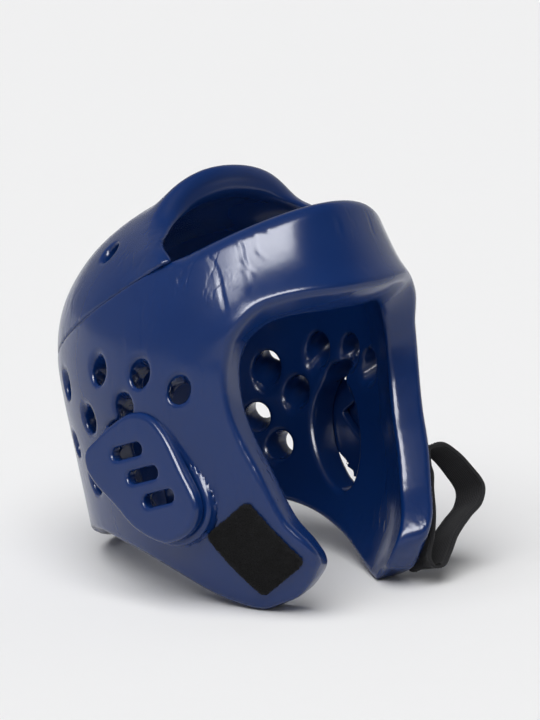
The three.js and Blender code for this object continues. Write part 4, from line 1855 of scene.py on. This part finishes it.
@dataclass(frozen=True)
class Softbox:
    """Rectangular studio light."""

    name: str
    place: tuple[float, float, float]
    aim: tuple[float, float, float]
    size: tuple[float, float]
    power: float

    def lit(self) -> None:
        """Adds the light to the scene."""
        lamp = bpy.data.lights.new(self.name, "AREA")
        lamp.shape = "RECTANGLE"
        lamp.size, lamp.size_y = self.size
        lamp.energy = self.power
        light = bpy.data.objects.new(self.name, lamp)
        light.location = self.place
        light.rotation_euler = (Vector(self.aim) - Vector(self.place)).to_track_quat("-Z", "Y").to_euler()
        light.visible_diffuse = False
        bpy.context.scene.collection.objects.link(light)


@dataclass
class Studio:
    """Pale floor, soft light and the camera at the photograph's viewing angle."""

    focal_px: float = 3000.0
    distance: float = 1.7857
    azimuth_deg: float = -42.0
    elevation_deg: float = 16.0
    base_px: tuple[float, float] = (242.0, 563.7)
    floor_reach: float = 9.0
    ambient: float = 0.13
    # axis, the shares of it between which the room starts to glow, and how strongly
    glows: tuple[tuple[str, float, float, float], ...] = (
        ("X", -0.3, -0.9, 0.17),
        ("Y", 0.2, 0.9, 0.18),
        ("X", 0.5, 0.95, 0.4),
    )
    sun: float = 2.85
    sun_angle_deg: float = 60.0
    sun_from: tuple[float, float, float] = (-0.40, -0.20, 0.90)
    softboxes: tuple[Softbox, ...] = (
        Softbox("key", (-1.32, -1.63, 1.57), (0.0, -0.05, 0.14), (2.1, 0.92), 107.0),
        Softbox("key_left", (-1.89, -0.59, 1.68), (0.0, -0.05, 0.14), (0.9, 0.62), 12.0),
    )

    def camera(self) -> None:
        """Adds the camera."""
        a, e = math.radians(self.azimuth_deg), math.radians(self.elevation_deg)
        back = Vector((math.sin(a) * math.cos(e), -math.cos(a) * math.cos(e), math.sin(e)))
        base = Vector(HEAD.shift_mm) * MM
        level = (-back).to_track_quat("-Z", "Y").to_matrix()
        right = math.atan((IMAGE_WIDTH / 2 - self.base_px[0]) / self.focal_px)
        up = math.atan((self.base_px[1] - IMAGE_HEIGHT / 2) / self.focal_px)
        turned = level @ Matrix.Rotation(-right, 3, "Y") @ Matrix.Rotation(up, 3, "X")
        data = bpy.data.cameras.new("camera")
        data.sensor_width = 36.0
        data.lens = self.focal_px / IMAGE_HEIGHT * data.sensor_width
        data.clip_start, data.clip_end = 0.05, 40.0
        camera = bpy.data.objects.new("camera", data)
        camera.matrix_world = Matrix.Translation(base + back * self.distance) @ turned.to_4x4()
        bpy.context.scene.collection.objects.link(camera)
        bpy.context.scene.camera = camera

    def floor(self) -> None:
        """Adds the floor."""
        r = self.floor_reach
        mesh = bpy.data.meshes.new("studio_floor")
        mesh.from_pydata([(-r, -r, 0), (r, -r, 0), (r, r, 0), (-r, r, 0)], [], [(0, 1, 2, 3)])
        mesh.materials.append(StudioPaper().made("studio_paper"))
        floor = bpy.data.objects.new("studio_floor", mesh)
        bpy.context.scene.collection.objects.link(floor)

    def room(self) -> None:
        """Adds the room's own brightness, which glows at the sides and at the back."""
        world = bpy.data.worlds.new("room")
        world.use_nodes = True
        nodes = Nodes(world.node_tree)
        place = nodes.node("ShaderNodeTexCoord").outputs["Generated"]
        way = nodes.node("ShaderNodeSeparateXYZ", {}, {0: place})
        total = self.ambient
        for axis, start, end, strength in self.glows:
            total = Value(nodes, way.outputs[axis]).share(start, end) * strength + total
        nodes.set(world.node_tree.nodes["Background"], {"Color": (1.0, 1.0, 1.0, 1.0), "Strength": total})
        bpy.context.scene.world = world

    def daylight(self) -> None:
        """Adds the wide soft light that evens out the floor."""
        lamp = bpy.data.lights.new("daylight", "SUN")
        lamp.energy = self.sun
        lamp.angle = math.radians(self.sun_angle_deg)
        light = bpy.data.objects.new("daylight", lamp)
        light.rotation_euler = (-Vector(self.sun_from)).to_track_quat("-Z", "Y").to_euler()
        light.visible_glossy = False
        bpy.context.scene.collection.objects.link(light)

    def light(self) -> None:
        """Adds every light."""
        self.room()
        self.daylight()
        bpy.context.scene.view_settings.view_transform = "Standard"
        for softbox in self.softboxes:
            softbox.lit()

    def built(self) -> None:
        """Adds all of it."""
        self.camera()
        self.floor()
        self.light()


def main() -> None:
    """Builds every piece in order."""
    logging.basicConfig(level=logging.INFO, format="%(name)s %(message)s")
    skin = DippedSkin().made("dipped_skin")
    pile = LoopPile().made("loop_pile")
    elastic = KnitElastic().made("knit_elastic")
    thread = SewingThread().made("sewing_thread")

    padding = Net(cell=PADDING_CELL)
    fine = Net(cell=POD_CELL)

    shell = SideShell()
    dressed(shell.built(padding), Slot.SKIN, skin, "shell")
    crown = CrownPiece(shell)
    dressed(crown.built(padding), Slot.SKIN, skin, "crown")

    for side in Side:
        ring, slab = EarPod(shell, side).built(fine)
        dressed(ring, Slot.SKIN, skin, f"ear_ring_{side.word}")
        dressed(slab, Slot.SKIN, skin, f"ear_plate_{side.word}")

    patch = LoopPatch(shell)
    pad = patch.built(Net(cell=PATCH_CELL, relaxed=1))
    loops = patch.pile(pad, pile)
    dressed(pad, Slot.LOOP_PILE, pile, "loop_patch")
    dressed(loops, Slot.LOOP_PILE, pile)

    strap = ChinStrap(shell)
    dressed(strap.built(), Slot.ELASTIC, elastic, "chin_strap")
    for word, share in (("front", -STITCH_SHARE), ("back", STITCH_SHARE)):
        dressed(strap.thread(share, thread, f"strap_stitches_{word}"), Slot.ELASTIC, thread)

    Studio().built()


def corners(box: tuple[Vector, Vector]) -> list[list[float]]:
    """Two corners as plain lists of numbers."""
    return [[float(c) for c in corner] for corner in box]


if __name__ == "__main__":
    main()
